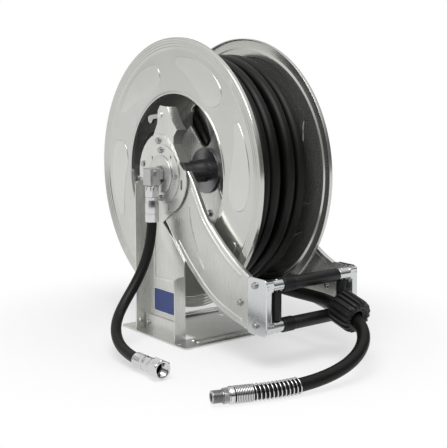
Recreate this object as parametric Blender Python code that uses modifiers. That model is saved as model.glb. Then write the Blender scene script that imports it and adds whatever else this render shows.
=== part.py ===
"""Spring-rewind hose reel on an open stainless pedestal.

Frame: +X along the drum axis, away from the pedestal; -Y towards the hose outlet;
+Z up. X = 0 is the middle of the drum, Y = 0 its axis, Z = 0 the underside of the base.
Outlines are drawn in millimetres for a reel with 530 mm discs, as (Y, Z) from the
drum axis, and grow with DISC_RADIUS through DRAWN.
"""
import math

import bmesh
import bpy
from mathutils import Matrix, Vector

# ---------------------------------------------------------------- driving dimensions
DISC_RADIUS = 0.265
HOSE_DIAMETER = 0.023
INLET_HOSE_DIAMETER = 0.020
SHEET = 0.0025
BASE_SHEET = 0.003
GAP = 0.0003
RATCHET_TEETH = 6
ROLLER_RADIUS = 0.012
UPRIGHT_ROLLER_RADIUS = 0.0095
SPIDER_ARMS = 3
SPIDER_TURN = -96
LEAVES = 6

# ---------------------------------------------------------------- worked-out sizes
DRAWN = DISC_RADIUS / 265
AXIS_HEIGHT = 322 * DRAWN
DISC_PLANE = 88.5 * DRAWN
HOLE_RADIUS = 155.6 * DRAWN
CORE_RADIUS = 160 * DRAWN
WINDING_RADIUS = 232.5 * DRAWN - HOSE_DIAMETER / 2
WEB_X = -111.25 * DRAWN
NEAR_ARM_X = WEB_X + SHEET + GAP
HEAD_X = WEB_X - SHEET - GAP
RING_X = HEAD_X - SHEET - GAP
FAR_ARM_X = 104 * DRAWN
SHAFT_RADIUS = 12 * DRAWN
HUB_RADIUS = 23 * DRAWN
LEAD_X = 63 * DRAWN
GUIDE_X = 47 * DRAWN
LEAD_HEIGHT = AXIS_HEIGHT - WINDING_RADIUS
GUIDE_Y = -300 * DRAWN
WINDOW_LOW = LEAD_HEIGHT - HOSE_DIAMETER / 2 - 1.2 * DRAWN
WINDOW_HIGH = WINDOW_LOW + 49 * DRAWN

STEEL = ("stainless", (0.66, 0.66, 0.63), 1.0, 0.30)
CAST = ("cast_alloy", (0.72, 0.73, 0.75), 0.9, 0.28)
PLATED = ("plated_steel", (0.78, 0.78, 0.80), 1.0, 0.20)
DARK = ("dark_steel", (0.16, 0.16, 0.17), 1.0, 0.30)
RUBBER = ("rubber", (0.018, 0.018, 0.020), 0.0, 0.45)
NYLON = ("black_nylon", (0.030, 0.030, 0.033), 0.0, 0.50)

BIG_TURN = 40

ACROSS = (0, math.pi / 2, 0)
SIDEWAYS = (math.pi / 2, 0, math.pi / 2)


# ---------------------------------------------------------------- scene
def clear_scene():
    for obj in list(bpy.data.objects):
        bpy.data.objects.remove(obj, do_unlink=True)


def make_collection(name):
    collection = bpy.data.collections.new(name)
    bpy.context.scene.collection.children.link(collection)
    return collection


def finish_in(obj, finish):
    """Give the object a Principled material of its own."""
    kind, colour, metallic, roughness = finish
    material = bpy.data.materials.new(obj.name + "_" + kind)
    material.use_nodes = True
    shader = material.node_tree.nodes["Principled BSDF"]
    shader.inputs["Base Color"].default_value = (*colour, 1.0)
    shader.inputs["Metallic"].default_value = metallic
    shader.inputs["Roughness"].default_value = roughness
    obj.data.materials.clear()
    obj.data.materials.append(material)


def keep(obj, finish, parent=None):
    """Put a finished sub-part in the reel's collection."""
    for collection in list(obj.users_collection):
        collection.objects.unlink(obj)
    PARTS.objects.link(obj)
    finish_in(obj, finish)
    if parent is not None:
        bpy.context.view_layer.update()
        obj.parent = parent
        obj.matrix_parent_inverse = parent.matrix_world.inverted()
    return obj


def set_aside(obj):
    """Put a cutter or a shape that is joined to another in its own collection."""
    for collection in list(obj.users_collection):
        collection.objects.unlink(obj)
    TOOLS.objects.link(obj)
    obj.hide_render = True
    obj.display_type = "WIRE"
    return obj


def joint_axis(name, location, rotation=(0, 0, 0)):
    """An empty on a joint's axis, which carries the pieces that turn about it."""
    empty = bpy.data.objects.new(name, None)
    empty.empty_display_size = 0.02
    empty.location = location
    empty.rotation_euler = rotation
    PARTS.objects.link(empty)
    bpy.context.view_layer.update()
    return empty


def combine(target, other, operation, solver="EXACT"):
    set_aside(other)
    modifier = target.modifiers.new(operation.lower() + "_" + other.name, "BOOLEAN")
    modifier.operation = operation
    modifier.solver = solver
    modifier.object = other
    return target


def join(target, *others):
    for other in others:
        combine(target, other, "UNION")
    return target


def cut(target, *others):
    for other in others:
        combine(target, other, "DIFFERENCE")
    return target


# ---------------------------------------------------------------- points
def arc(centre, radius, start, end, count):
    """Points on an arc, in degrees from the first axis towards the second."""
    points = []
    for i in range(count + 1):
        angle = math.radians(start + (end - start) * i / count)
        points.append((centre[0] + radius * math.cos(angle), centre[1] + radius * math.sin(angle)))
    return points


def circle(centre, radius, count=16):
    return arc(centre, radius, 0, 360, count)[:-1]


def polar(radius, degrees):
    angle = math.radians(degrees)
    return (radius * math.cos(angle), radius * math.sin(angle))


def smooth(points, steps):
    """A Catmull-Rom curve through open points of any dimension."""
    ring = [Vector(p) for p in points]
    ring = [2 * ring[0] - ring[1]] + ring + [2 * ring[-1] - ring[-2]]
    curve = []
    for a, b, c, d in zip(ring, ring[1:], ring[2:], ring[3:]):
        for i in range(steps):
            t = i / steps
            curve.append(0.5 * (2 * b + (c - a) * t + (2 * a - 5 * b + 4 * c - d) * t * t
                                + (3 * b - a - 3 * c + d) * t ** 3))
    curve.append(ring[-2])
    return curve


def evenly(points, spacing):
    """The same path with a point at every equal step of about the given length."""
    lengths = [0.0]
    for a, b in zip(points, points[1:]):
        lengths.append(lengths[-1] + (b - a).length)
    count = max(2, round(lengths[-1] / spacing))
    path = []
    k = 0
    for i in range(count + 1):
        goal = lengths[-1] * i / count
        while k < len(points) - 2 and lengths[k + 1] < goal:
            k += 1
        share = (goal - lengths[k]) / (lengths[k + 1] - lengths[k])
        path.append(points[k].lerp(points[k + 1], min(1.0, share)))
    return path


def rounded_box(low, high, radius, count=4):
    """Outline of a rectangle with round corners."""
    corners = [((high[0] - radius, low[1] + radius), -90), ((high[0] - radius, high[1] - radius), 0),
               ((low[0] + radius, high[1] - radius), 90), ((low[0] + radius, low[1] + radius), 180)]
    points = []
    for centre, start in corners:
        points += arc(centre, radius, start, start + 90, count)
    return points


def beside(points, distance):
    """An open line moved to its left by a distance."""
    moved = []
    for i, point in enumerate(points):
        before = Vector(points[max(0, i - 1)])
        after = Vector(points[min(len(points) - 1, i + 1)])
        along = (after - before).normalized()
        moved.append((point[0] - along[1] * distance, point[1] + along[0] * distance))
    return moved


def ribbon(points, inset, width):
    """Closed outline of a band to the left of an open line, from `inset` on."""
    return beside(points, inset) + beside(points, inset + width)[::-1]


def relaxed(path, rounds):
    """The path with its bends evened out; both ends keep their place and direction."""
    for _ in range(rounds):
        middle = [(a + 2 * b + c) / 4 for a, b, c in zip(path[1:], path[2:], path[3:])]
        path = path[:2] + middle[:-1] + path[-2:]
    return path


# ---------------------------------------------------------------- shapes
def as_mesh(obj):
    """Turn a curve object into a mesh with welded caps, in the same place."""
    bpy.context.view_layer.update()
    graph = bpy.context.evaluated_depsgraph_get()
    mesh = bpy.data.meshes.new_from_object(obj.evaluated_get(graph))
    shape = bmesh.new()
    shape.from_mesh(mesh)
    bmesh.ops.remove_doubles(shape, verts=shape.verts, dist=0.00001)
    shape.to_mesh(mesh)
    shape.free()
    solid = bpy.data.objects.new(obj.name, mesh)
    solid.matrix_world = obj.matrix_world
    bpy.context.scene.collection.objects.link(solid)
    name = obj.name
    bpy.data.objects.remove(obj, do_unlink=True)
    solid.name = name
    return solid


def plate(name, loops, thickness):
    """A flat outline with holes, as a plate in local XY, half its thickness each way."""
    curve = bpy.data.curves.new(name, "CURVE")
    curve.dimensions = "2D"
    curve.fill_mode = "BOTH"
    curve.extrude = thickness / 2
    curve.resolution_u = 1
    for points in loops:
        spline = curve.splines.new("POLY")
        spline.points.add(len(points) - 1)
        for place, point in zip(spline.points, points):
            place.co = (point[0], point[1], 0, 1)
        spline.use_cyclic_u = True
    obj = bpy.data.objects.new(name, curve)
    bpy.context.scene.collection.objects.link(obj)
    return as_mesh(obj)


def side_plate(name, loops, thickness, x):
    """A plate square to X, whose outline is drawn in (Y, Z) from the drum axis."""
    drawn = [[(p[0] * DRAWN, p[1] * DRAWN) for p in points] for points in loops]
    obj = plate(name, drawn, thickness)
    obj.rotation_euler = SIDEWAYS
    obj.location = (x, 0, AXIS_HEIGHT)
    return obj


def turned(name, profile, steps, closed=False):
    """A turned solid about local Z: (radius, height) pairs down the outer side."""
    mesh = bpy.data.meshes.new(name)
    edges = [(i, i + 1) for i in range(len(profile) - 1)]
    if closed:
        edges.append((len(profile) - 1, 0))
    mesh.from_pydata([(r, 0, z) for r, z in profile], edges, [])
    obj = bpy.data.objects.new(name, mesh)
    bpy.context.scene.collection.objects.link(obj)
    screw = obj.modifiers.new("turn", "SCREW")
    screw.steps = steps
    screw.render_steps = steps
    screw.use_merge_vertices = True
    screw.merge_threshold = 0.00001
    screw.use_smooth_shade = True
    return obj


def on_axis(name, profile, steps, closed=False):
    """A turned piece about the drum axis: (radius, X) pairs, from +X to -X on the outside."""
    obj = turned(name, [(r, x) for r, x in profile], steps, closed)
    obj.rotation_euler = ACROSS
    obj.location = (0, 0, AXIS_HEIGHT)
    return obj


def ring_profile(inner, outer, low, high):
    return [(outer, high), (outer, low), (inner, low), (inner, high)]


def cylinder(name, radius, length, start, direction, vertices=20):
    """A closed cylinder or prism that runs from a point along a direction."""
    mesh = bpy.data.meshes.new(name)
    shape = bmesh.new()
    bmesh.ops.create_cone(shape, cap_ends=True, segments=vertices, radius1=radius, radius2=radius,
                          depth=length, matrix=Matrix.Translation((0, 0, length / 2)))
    shape.to_mesh(mesh)
    shape.free()
    obj = bpy.data.objects.new(name, mesh)
    obj.location = start
    obj.rotation_euler = Vector(direction).to_track_quat("Z", "Y").to_euler()
    bpy.context.scene.collection.objects.link(obj)
    if vertices > 8:
        mesh.shade_smooth()
        mesh.set_sharp_from_angle(angle=math.radians(35))
    return obj


def box(name, low, high):
    mesh = bpy.data.meshes.new(name)
    shape = bmesh.new()
    bmesh.ops.create_cube(shape, size=1)
    size = [b - a for a, b in zip(low, high)]
    bmesh.ops.scale(shape, vec=size, verts=shape.verts)
    shape.to_mesh(mesh)
    shape.free()
    obj = bpy.data.objects.new(name, mesh)
    obj.location = [(a + b) / 2 for a, b in zip(low, high)]
    bpy.context.scene.collection.objects.link(obj)
    return obj


def soften(obj, width, segments=2, sharper_than=40):
    """Round the edges that are sharper than an angle in degrees."""
    bevel = obj.modifiers.new("edges", "BEVEL")
    bevel.width = width
    bevel.segments = segments
    bevel.limit_method = "ANGLE"
    bevel.angle_limit = math.radians(sharper_than)
    return obj


def aim(obj, start, direction):
    obj.location = start
    obj.rotation_euler = Vector(direction).to_track_quat("Z", "Y").to_euler()


def tube(name, path, radius, resolution):
    """A round tube with filled ends along a path of points."""
    curve = bpy.data.curves.new(name, "CURVE")
    curve.dimensions = "3D"
    curve.bevel_depth = radius
    curve.bevel_resolution = resolution
    curve.use_fill_caps = True
    curve.resolution_u = 1
    spline = curve.splines.new("POLY")
    spline.points.add(len(path) - 1)
    for place, point in zip(spline.points, path):
        place.co = (*point, 1)
    obj = bpy.data.objects.new(name, curve)
    bpy.context.scene.collection.objects.link(obj)
    return obj


def least_gap(path, radius, apart):
    """Least clear distance of a tube to itself, between points more than `apart` along it."""
    least = 1.0
    for i, a in enumerate(path):
        for b in path[i + apart:]:
            least = min(least, (a - b).length)
    return least - 2 * radius


def tightest_bend(path):
    """Least radius of the circle through three following points."""
    least = 10.0
    for a, b, c in zip(path, path[1:], path[2:]):
        area = (b - a).cross(c - a).length / 2
        if area > 1e-9:
            least = min(least, (a - b).length * (b - c).length * (c - a).length / (4 * area))
    return least


def length_of(path):
    return sum((b - a).length for a, b in zip(path, path[1:]))


# ---------------------------------------------------------------- bolts
BOLT_RADIUS = 3 * DRAWN
BOLT_HOLE = BOLT_RADIUS + 0.0004


def bolt(name, place, out, grip, nut=True):
    """Hexagon bolt: washer and head outside `place`, shank and nut `grip` behind it."""
    out = Vector(out)
    seat = Vector(place) + out * GAP
    washer = cylinder(name, 6.6 * DRAWN, 1.4 * DRAWN, seat, out, 10)
    head = cylinder(name + "_head", 5.6 * DRAWN, 4 * DRAWN, seat + out * 1.2 * DRAWN, out, 6)
    shank = cylinder(name + "_shank", BOLT_RADIUS, grip + 4.2 * DRAWN,
                     seat + out * 0.5 * DRAWN, -out, 6)
    join(washer, head, shank)
    if nut:
        inner = seat - out * (grip + 2 * GAP)
        join(washer, cylinder(name + "_nut", 5.6 * DRAWN, 3.2 * DRAWN, inner, -out, 6))
    return keep(washer, PLATED)


# ---------------------------------------------------------------- base and pedestal
BASE_LEFT = -143
BASE_RIGHT = 123
BASE_HALF_DEPTH = 113
PEDESTAL_HALF_DEPTH = 68
FLANGE_DEPTH = 24
TAB_TOP = 34
FOOT_BOLT_Y = PEDESTAL_HALF_DEPTH - 16
TAB_HALF_WIDTH = FOOT_BOLT_Y + 10
FIXING_HOLE_Y = 81
FIXING_HOLE_INSET = 9
FLOOR = -AXIS_HEIGHT / DRAWN
FOOT_BOLT_Z = 15


def base_ribs(name, height, trim, level):
    """Four bars along X, two near each long edge of the base, with round ends."""
    bars = []
    for k, y in enumerate((98, 83, -83, -98)):
        outline = rounded_box((-106 + trim, y - 5.5 + trim), (86 - trim, y + 5.5 - trim),
                              5.4 - trim, 2)
        bar = plate("%s_%d" % (name, k), [[(p[0] * DRAWN, p[1] * DRAWN) for p in outline]], height)
        bar.location = (0, 0, level)
        bars.append(bar)
    return bars


def make_base():
    """Sheet with hollow ribs, fixing holes, and a tab turned up from the middle."""
    outline = rounded_box((BASE_LEFT, -BASE_HALF_DEPTH), (BASE_RIGHT, BASE_HALF_DEPTH), 8, 3)
    tab_gap = rounded_box((-106, -TAB_HALF_WIDTH), (-79, TAB_HALF_WIDTH), 3, 2)
    holes = [tab_gap]
    for side in (-1, 1):
        holes.append(rounded_box((66, side * 54 - 12), (78, side * 54 + 12), 3, 2))
        holes += [circle((x, side * FIXING_HOLE_Y), 4.5, 8)
                  for x in (BASE_LEFT + FIXING_HOLE_INSET, BASE_RIGHT - FIXING_HOLE_INSET)]
    loops = [[(p[0] * DRAWN, p[1] * DRAWN) for p in points] for points in [outline] + holes]
    base = plate("base_plate", loops, BASE_SHEET)
    base.location = (0, 0, BASE_SHEET / 2)
    rib = 4 * DRAWN
    for bar in base_ribs("base_rib", rib + 0.001, 0, BASE_SHEET + rib / 2 - 0.0005):
        soften(bar, 1.8 * DRAWN, 1, 60)
        combine(base, bar, "UNION", "MANIFOLD")
    for groove in base_ribs("base_groove", rib + BASE_SHEET, 2.5, rib / 2):
        combine(base, groove, "DIFFERENCE", "MANIFOLD")
    holes = [circle((side * FOOT_BOLT_Y, FLOOR + FOOT_BOLT_Z), BOLT_HOLE / DRAWN, 8)
             for side in (-1, 1)]
    outline = rounded_box((-TAB_HALF_WIDTH, FLOOR + 1), (TAB_HALF_WIDTH, FLOOR + TAB_TOP), 5, 3)
    tab = side_plate("foot_tab", [outline] + holes, SHEET, HEAD_X)
    join(base, tab)
    return keep(base, STEEL)


PAWL_PIVOT = (9, 115)
BRACKET_FRONT = [(-13, 131), (-32, 102), (-46, 88), (-35, 75), (-34, 60), (-48, 38), (-56, 26)]
HEAD_BOLTS = [(12, 64.5), (63.5, 15.5)]
RING_BOLT_RADIUS = 47


def pedestal_outline():
    """Web of the pedestal: foot, back edge beside the ratchet, and the pawl's bracket."""
    foot = FLOOR + (BASE_SHEET + 2 * GAP) / DRAWN
    half = PEDESTAL_HALF_DEPTH - 0.2
    back = [(half, foot), (half, -30)] + arc((half - 14, -32), 14, 20, 60, 2)
    beside_ratchet = arc((0, 0), 74, -6, 56, 7)
    bracket = [(20, 98), (18, 123), (10, 133)] + BRACKET_FRONT
    front = [(-62, -30), (-50, -58), (3, -96), (-32, -127), (-half, -165), (-half, foot)]
    return back + beside_ratchet + bracket + front


def make_pedestal():
    holes = [circle((0, 0), 30, 20), circle(PAWL_PIVOT, 3.5, 8)]
    holes += [circle(at, BOLT_HOLE / DRAWN, 8) for at in HEAD_BOLTS]
    for side in (-1, 1):
        holes.append(circle((side * FOOT_BOLT_Y, FLOOR + FOOT_BOLT_Z), BOLT_HOLE / DRAWN, 8))
    for k in range(4):
        holes.append(circle(polar(RING_BOLT_RADIUS, 90 * k), BOLT_HOLE / DRAWN, 8))
    web = side_plate("pedestal", [pedestal_outline()] + holes, SHEET, WEB_X)
    foot = BASE_SHEET + GAP
    half = PEDESTAL_HALF_DEPTH * DRAWN
    out = WEB_X - FLANGE_DEPTH * DRAWN

    def flange(name, y, top):
        """A flange turned outwards from the web, with round upper corners and a slot."""
        x_low = out
        x_high = WEB_X + SHEET / 2 - 0.0002
        outline = [(x_low, foot), (x_high, foot), (x_high, top)]
        outline += arc((x_low + 10 * DRAWN, top - 10 * DRAWN), 10 * DRAWN, 90, 180, 4)
        slot = rounded_box((x_low + 6 * DRAWN, foot + 14 * DRAWN),
                           (x_low + 10 * DRAWN, foot + 22 * DRAWN), 1.9 * DRAWN, 1)
        leaf = plate(name, [outline, slot], SHEET)
        leaf.rotation_euler = (math.pi / 2, 0, 0)
        leaf.location = (0, y, 0)
        return leaf

    front = flange("front_flange", -half + SHEET / 2, AXIS_HEIGHT - 194 * DRAWN)
    back = flange("back_flange", half - SHEET / 2, AXIS_HEIGHT - 18 * DRAWN)
    lip = side_plate("bracket_lip", [ribbon(BRACKET_FRONT, 0.15, SHEET / DRAWN)],
                     22 * DRAWN, WEB_X - SHEET / 2 + 11.2 * DRAWN)
    crease = side_plate("web_crease", [ribbon([(31, -128), (29, -209), (-34, -206)], 0, 5)],
                        SHEET, WEB_X - 0.001)
    join(web, front, back, lip, crease)
    return keep(web, STEEL)


# ---------------------------------------------------------------- arms
ARM_UPPER = [(-76, 11), (-92, -9), (-111, -40), (-135, -75), (-172, -108), (-201, -129),
             (-230, -147), (-258, -160), (-288.3, -163)]
ARM_LOWER = [(-288.3, -256), (-244, -255), (-201, -246), (-171, -235), (-141, -220), (-110, -199),
             (-68, -165), (-32, -127), (-5, -95)]
ARM_BOLT = (-236, -211)
GUIDE_BOLTS = [(-280, -172.6), (-283, -243.5)]


def arm_outline():
    head = arc((0, 0), 71, -60, 94, 12)
    shoulder = [(-26, 52), (-42, 32), (-54, 17), (-68, 14)]
    return head + shoulder + ARM_UPPER + ARM_LOWER + [(22, -76)]


def make_arm(name, x, inward, hub_hole, extra_holes):
    """One pressed arm: plate, folded edges and two swaged beads. `inward` is +1 or -1 in X."""
    holes = [circle((0, 0), hub_hole, 20), circle(ARM_BOLT, BOLT_HOLE / DRAWN, 8)]
    holes += [circle(at, BOLT_HOLE / DRAWN, 8) for at in extra_holes]
    arm = side_plate(name, [arm_outline()] + holes, SHEET, x)
    fold = 9 * DRAWN
    fold_x = x + inward * ((fold - SHEET) / 2 + 0.0003)
    for k, edge in enumerate((ARM_UPPER[:-1], ARM_LOWER[1:-2])):
        strip = ribbon(edge, 0.15, SHEET / DRAWN)
        join(arm, side_plate(name + "_fold_%d" % k, [strip], fold, fold_x))
    upper_bead = [(-85, -20), (-103, -50), (-126, -83), (-165, -119), (-199, -144), (-232, -163)]
    lower_bead = [(-238, -243), (-204, -234), (-172, -223), (-143, -208), (-112, -186),
                  (-72, -152), (-48, -128)]
    inner_bead = [(-80, -56), (-84, -86), (-97, -120), (-112, -150), (-126, -170)]
    for k, line in enumerate((upper_bead, lower_bead, inner_bead)):
        strip = ribbon(line, 0, 6)
        bead = side_plate(name + "_bead_%d" % k, [strip], SHEET, x - inward * 0.0011)
        join(arm, bead)
    return keep(arm, STEEL)


# ---------------------------------------------------------------- head on the pedestal
def make_head():
    """Round plate outside the web, cut to a point at the top, with the bearing's ring plate."""
    beside_flange = [(64.6, -14), (64.6, -47)]
    outline = arc((0, 0), 80, 75, -8, 7) + beside_flange + arc((0, 0), 80, -37, -188, 13)
    outline += [(-70, 14), (-50, 30), (-31, 54), (-6, 76)]
    holes = [circle((0, 0), 30, 16)]
    holes += [circle(at, BOLT_HOLE / DRAWN, 8) for at in HEAD_BOLTS]
    holes += [circle(polar(RING_BOLT_RADIUS, 90 * k), BOLT_HOLE / DRAWN, 8) for k in range(4)]
    holes.append(rounded_box((-25, -70), (-19, -56), 2.9, 2))
    holes.append(rounded_box((-67, -26), (-61, -6), 2.9, 2))
    head = side_plate("head_plate", [outline[::-1]] + holes, SHEET, HEAD_X)
    keep(head, STEEL)
    ring_holes = [circle((0, 0), SHAFT_RADIUS / DRAWN + 0.4, 20)]
    ring_holes += [circle(polar(RING_BOLT_RADIUS, 90 * k), BOLT_HOLE / DRAWN, 8)
                   for k in range(4)]
    ring_holes += [rounded_box((28, 26), (32, 34), 1.9, 1), rounded_box((-35, 31), (-31, 39), 1.9, 1)]
    ring = side_plate("ring_plate", [circle((0, 0), 58, 28)] + ring_holes, SHEET, RING_X)
    keep(ring, STEEL)
    face = RING_X - SHEET / 2 - GAP
    boss = on_axis("bearing_boss", ring_profile(SHAFT_RADIUS + GAP, 36.7 * DRAWN,
                                                face - 3 * DRAWN, face), 28, closed=True)
    keep(boss, STEEL)
    for k in range(4):
        y, z = polar(RING_BOLT_RADIUS, 90 * k)
        place = (RING_X - SHEET / 2, y * DRAWN, AXIS_HEIGHT + z * DRAWN)
        bolt("bolt_ring_%d" % (k + 1), place, (-1, 0, 0), 4 * SHEET + 3 * GAP, False)
    for k, (y, z) in enumerate(HEAD_BOLTS):
        place = (HEAD_X - SHEET / 2, y * DRAWN, AXIS_HEIGHT + z * DRAWN)
        bolt("bolt_head_%d" % (k + 1), place, (-1, 0, 0), 3 * SHEET + 2 * GAP, False)
    for k, side in enumerate((-1, 1)):
        place = (HEAD_X - SHEET / 2, side * FOOT_BOLT_Y * DRAWN, FOOT_BOLT_Z * DRAWN)
        bolt("bolt_foot_%d" % (k + 1), place, (-1, 0, 0), 2 * SHEET + GAP)


# ---------------------------------------------------------------- shaft
SHAFT_NEAR = -122
SHAFT_FAR = 112


def make_shaft():
    """Fixed hollow shaft, with its nut outside the far arm."""
    near = SHAFT_NEAR * DRAWN
    far = SHAFT_FAR * DRAWN
    bore = 6 * DRAWN
    shaft = on_axis("main_shaft", ring_profile(bore, SHAFT_RADIUS, near, far), 20, closed=True)
    keep(shaft, DARK)
    seat = FAR_ARM_X + SHEET / 2 + GAP
    nut = cylinder("shaft_nut", 19 * DRAWN, 9 * DRAWN, (seat, 0, AXIS_HEIGHT), (1, 0, 0), 6)
    washer = cylinder("shaft_washer", 24 * DRAWN, 2 * DRAWN, (seat, 0, AXIS_HEIGHT), (1, 0, 0), 28)
    hole = cylinder("shaft_nut_bore", SHAFT_RADIUS + GAP, 0.04, (seat - 0.01, 0, AXIS_HEIGHT),
                    (1, 0, 0), 20)
    cut(join(nut, washer), hole)
    keep(nut, PLATED)


# ---------------------------------------------------------------- ratchet and pawl
RATCHET_TIP = 100
RATCHET_ROOT = 91
RATCHET_PITCH = 15
RATCHET_X = -85 * DRAWN
PAWL_LENGTH = 82
PAWL_NOSE = (76.5, -12)
PAWL_REST = -7
PAWL_ENGAGED = -29.5
NOSE_LEAD = 2


def nose_engaged():
    """Direction in degrees of the pawl's nose from the drum axis, when it holds a tooth."""
    turn = math.radians(PAWL_ENGAGED)
    u, v = PAWL_NOSE
    y = PAWL_PIVOT[0] + u * math.cos(turn) - v * math.sin(turn)
    z = PAWL_PIVOT[1] + u * math.sin(turn) + v * math.cos(turn)
    return math.degrees(math.atan2(z, y))


def make_ratchet(drum):
    """Toothed sector on the hub; its teeth climb with the angle and drop behind their tips."""
    steep = nose_engaged() - NOSE_LEAD + 2 * RATCHET_PITCH
    teeth = []
    for k in range(RATCHET_TEETH):
        tip = steep - RATCHET_PITCH * k
        teeth += [polar(RATCHET_ROOT, tip), polar(RATCHET_TIP, tip),
                  polar(RATCHET_TIP - 0.5, tip - 0.12 * RATCHET_PITCH),
                  polar(RATCHET_ROOT + 5.5, tip - 0.55 * RATCHET_PITCH)]
    last = steep - RATCHET_PITCH * RATCHET_TEETH
    ring = arc((0, 0), 35, last - 40, steep + 40 - 360, 12)
    outline = teeth + [polar(RATCHET_ROOT, last), polar(60, last - 4)] + ring + [polar(60, steep + 4)]
    hole = circle((0, 0), HUB_RADIUS / DRAWN + 0.3, 28)
    return keep(side_plate("ratchet_sector", [outline, hole], 4 * DRAWN, RATCHET_X), STEEL, drum)


def make_pawl():
    """Long finger with a nose, on a pin through the bracket, held up by a small wound spring."""
    pivot = Vector((RATCHET_X, PAWL_PIVOT[0] * DRAWN, AXIS_HEIGHT + PAWL_PIVOT[1] * DRAWN))
    turn = joint_axis("pawl_axis", pivot)
    eye = arc((0, 0), 8, 50, 310, 12)
    nose, drop = PAWL_NOSE
    finger = [(16, -4), (nose - 12.5, -4), (nose - 6, drop + 1.5), (nose, drop),
              (PAWL_LENGTH, drop + 5), (PAWL_LENGTH, 2), (PAWL_LENGTH - 8, 5), (16, 5)]
    loops = [eye + finger, circle((0, 0), 3.4, 12)]
    pawl = plate("pawl", [[(p[0] * DRAWN, p[1] * DRAWN) for p in points] for points in loops],
                 5 * DRAWN)
    tilt = Matrix.Rotation(math.radians(PAWL_REST), 3, "X")
    standing = Matrix.Rotation(math.pi / 2, 3, "Z") @ Matrix.Rotation(math.pi / 2, 3, "X")
    pawl.rotation_euler = (tilt @ standing).to_euler()
    pawl.location = pivot
    keep(pawl, PLATED, turn)
    outside = WEB_X - SHEET / 2 - GAP
    inside = pivot.x + 2.5 * DRAWN + GAP
    pin = cylinder("pawl_pin", 3 * DRAWN, inside + 3 * DRAWN - outside,
                   (outside - 1 * DRAWN, pivot.y, pivot.z), (1, 0, 0), 10)
    head = cylinder("pawl_pin_head", 5.5 * DRAWN, 2 * DRAWN,
                    (outside - 2 * DRAWN, pivot.y, pivot.z), (1, 0, 0), 12)
    collar = cylinder("pawl_pin_collar", 5.5 * DRAWN, 2 * DRAWN, (inside, pivot.y, pivot.z),
                      (1, 0, 0), 12)
    keep(join(pin, head, collar), PLATED)
    low = WEB_X + SHEET / 2 + 1.2 * DRAWN
    high = pivot.x - 3.7 * DRAWN
    wire = 0.6 * DRAWN
    curls = 3
    radius = 4.6 * DRAWN
    path = []
    for i in range(8 * curls + 1):
        angle = 2 * math.pi * i / 8
        path.append(Vector((low + (high - low) * i / (8 * curls),
                            pivot.y + radius * math.cos(angle), pivot.z + radius * math.sin(angle))))
    path.append(path[-1] + Vector((0, 0.5 * DRAWN, 6 * DRAWN)))
    path.insert(0, path[0] + Vector((0, 0.5 * DRAWN, -6 * DRAWN)))
    keep(tube("pawl_spring", path, wire, 1), PLATED)
    print("pawl_spring least gap %.2f mm" % (1000 * least_gap(path, wire, 5)))


# ---------------------------------------------------------------- drum
RIM_DEPTH = 9


def leaf_outline(start):
    """One pressed leaf of a disc, from its narrow tip at `start` degrees to its round end."""
    outer = [(227, 4), (230, 13), (231, 22), (230, 31), (225, 40)]
    end = [(212, 44.5), (195, 45.3), (179, 42), (171, 35.5)]
    inner = [(173, 29), (184, 20), (198, 10.5), (211, 2.5), (222, 1)]
    return [polar(radius, start + angle) for radius, angle in outer + end + inner]


def disc_profile(out):
    """Section of a pressed disc in (radius, X); `out` is +1 on the far side, -1 on the near."""
    r = DISC_RADIUS
    sheet = 2 * DRAWN
    plane = DISC_PLANE
    face = plane - 3.5 * DRAWN
    depth = plane - RIM_DEPTH * DRAWN
    hole = HOLE_RADIUS
    outer_side = [(hole, plane - 1 * DRAWN), (hole + 4 * DRAWN, face), (r - 23 * DRAWN, face),
                  (r - 18 * DRAWN, plane - 0.7 * DRAWN), (r - 3 * DRAWN, plane),
                  (r, plane - 3 * DRAWN), (r, depth)]
    inner_side = [(r - 4 * DRAWN, depth), (r - 5 * DRAWN, face - sheet),
                  (hole + 5 * DRAWN, face - sheet), (hole, depth - 1 * DRAWN)]
    points = outer_side + inner_side
    if out < 0:
        return [(p[0], -p[1]) for p in points[::-1]]
    return points


def make_disc(name, out, drum):
    profile = disc_profile(out)
    disc = on_axis(name, profile, BIG_TURN, closed=True)
    for k in range(LEAVES):
        height = 1.6 * DRAWN
        start = 90 + 360 / LEAVES * k
        leaf = side_plate(name + "_leaf_%d" % k, [leaf_outline(start)], height,
                          out * (DISC_PLANE - 3.5 * DRAWN))
        join(disc, leaf)
    return keep(disc, STEEL, drum)


def spider_opening(middle):
    """Outline of one opening of the spider: round towards the hub, wide at the core."""
    along = math.radians(middle)
    points = arc((65, 0), 19, 245, 115, 5)
    points += [(96, 46), (111, 59), (126, 62)] + arc((0, 0), 144, 23, -23, 4)
    points += [(126, -62), (111, -59), (96, -46)]
    return [(u * math.cos(along) - v * math.sin(along), u * math.sin(along) + v * math.cos(along))
            for u, v in points]


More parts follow.
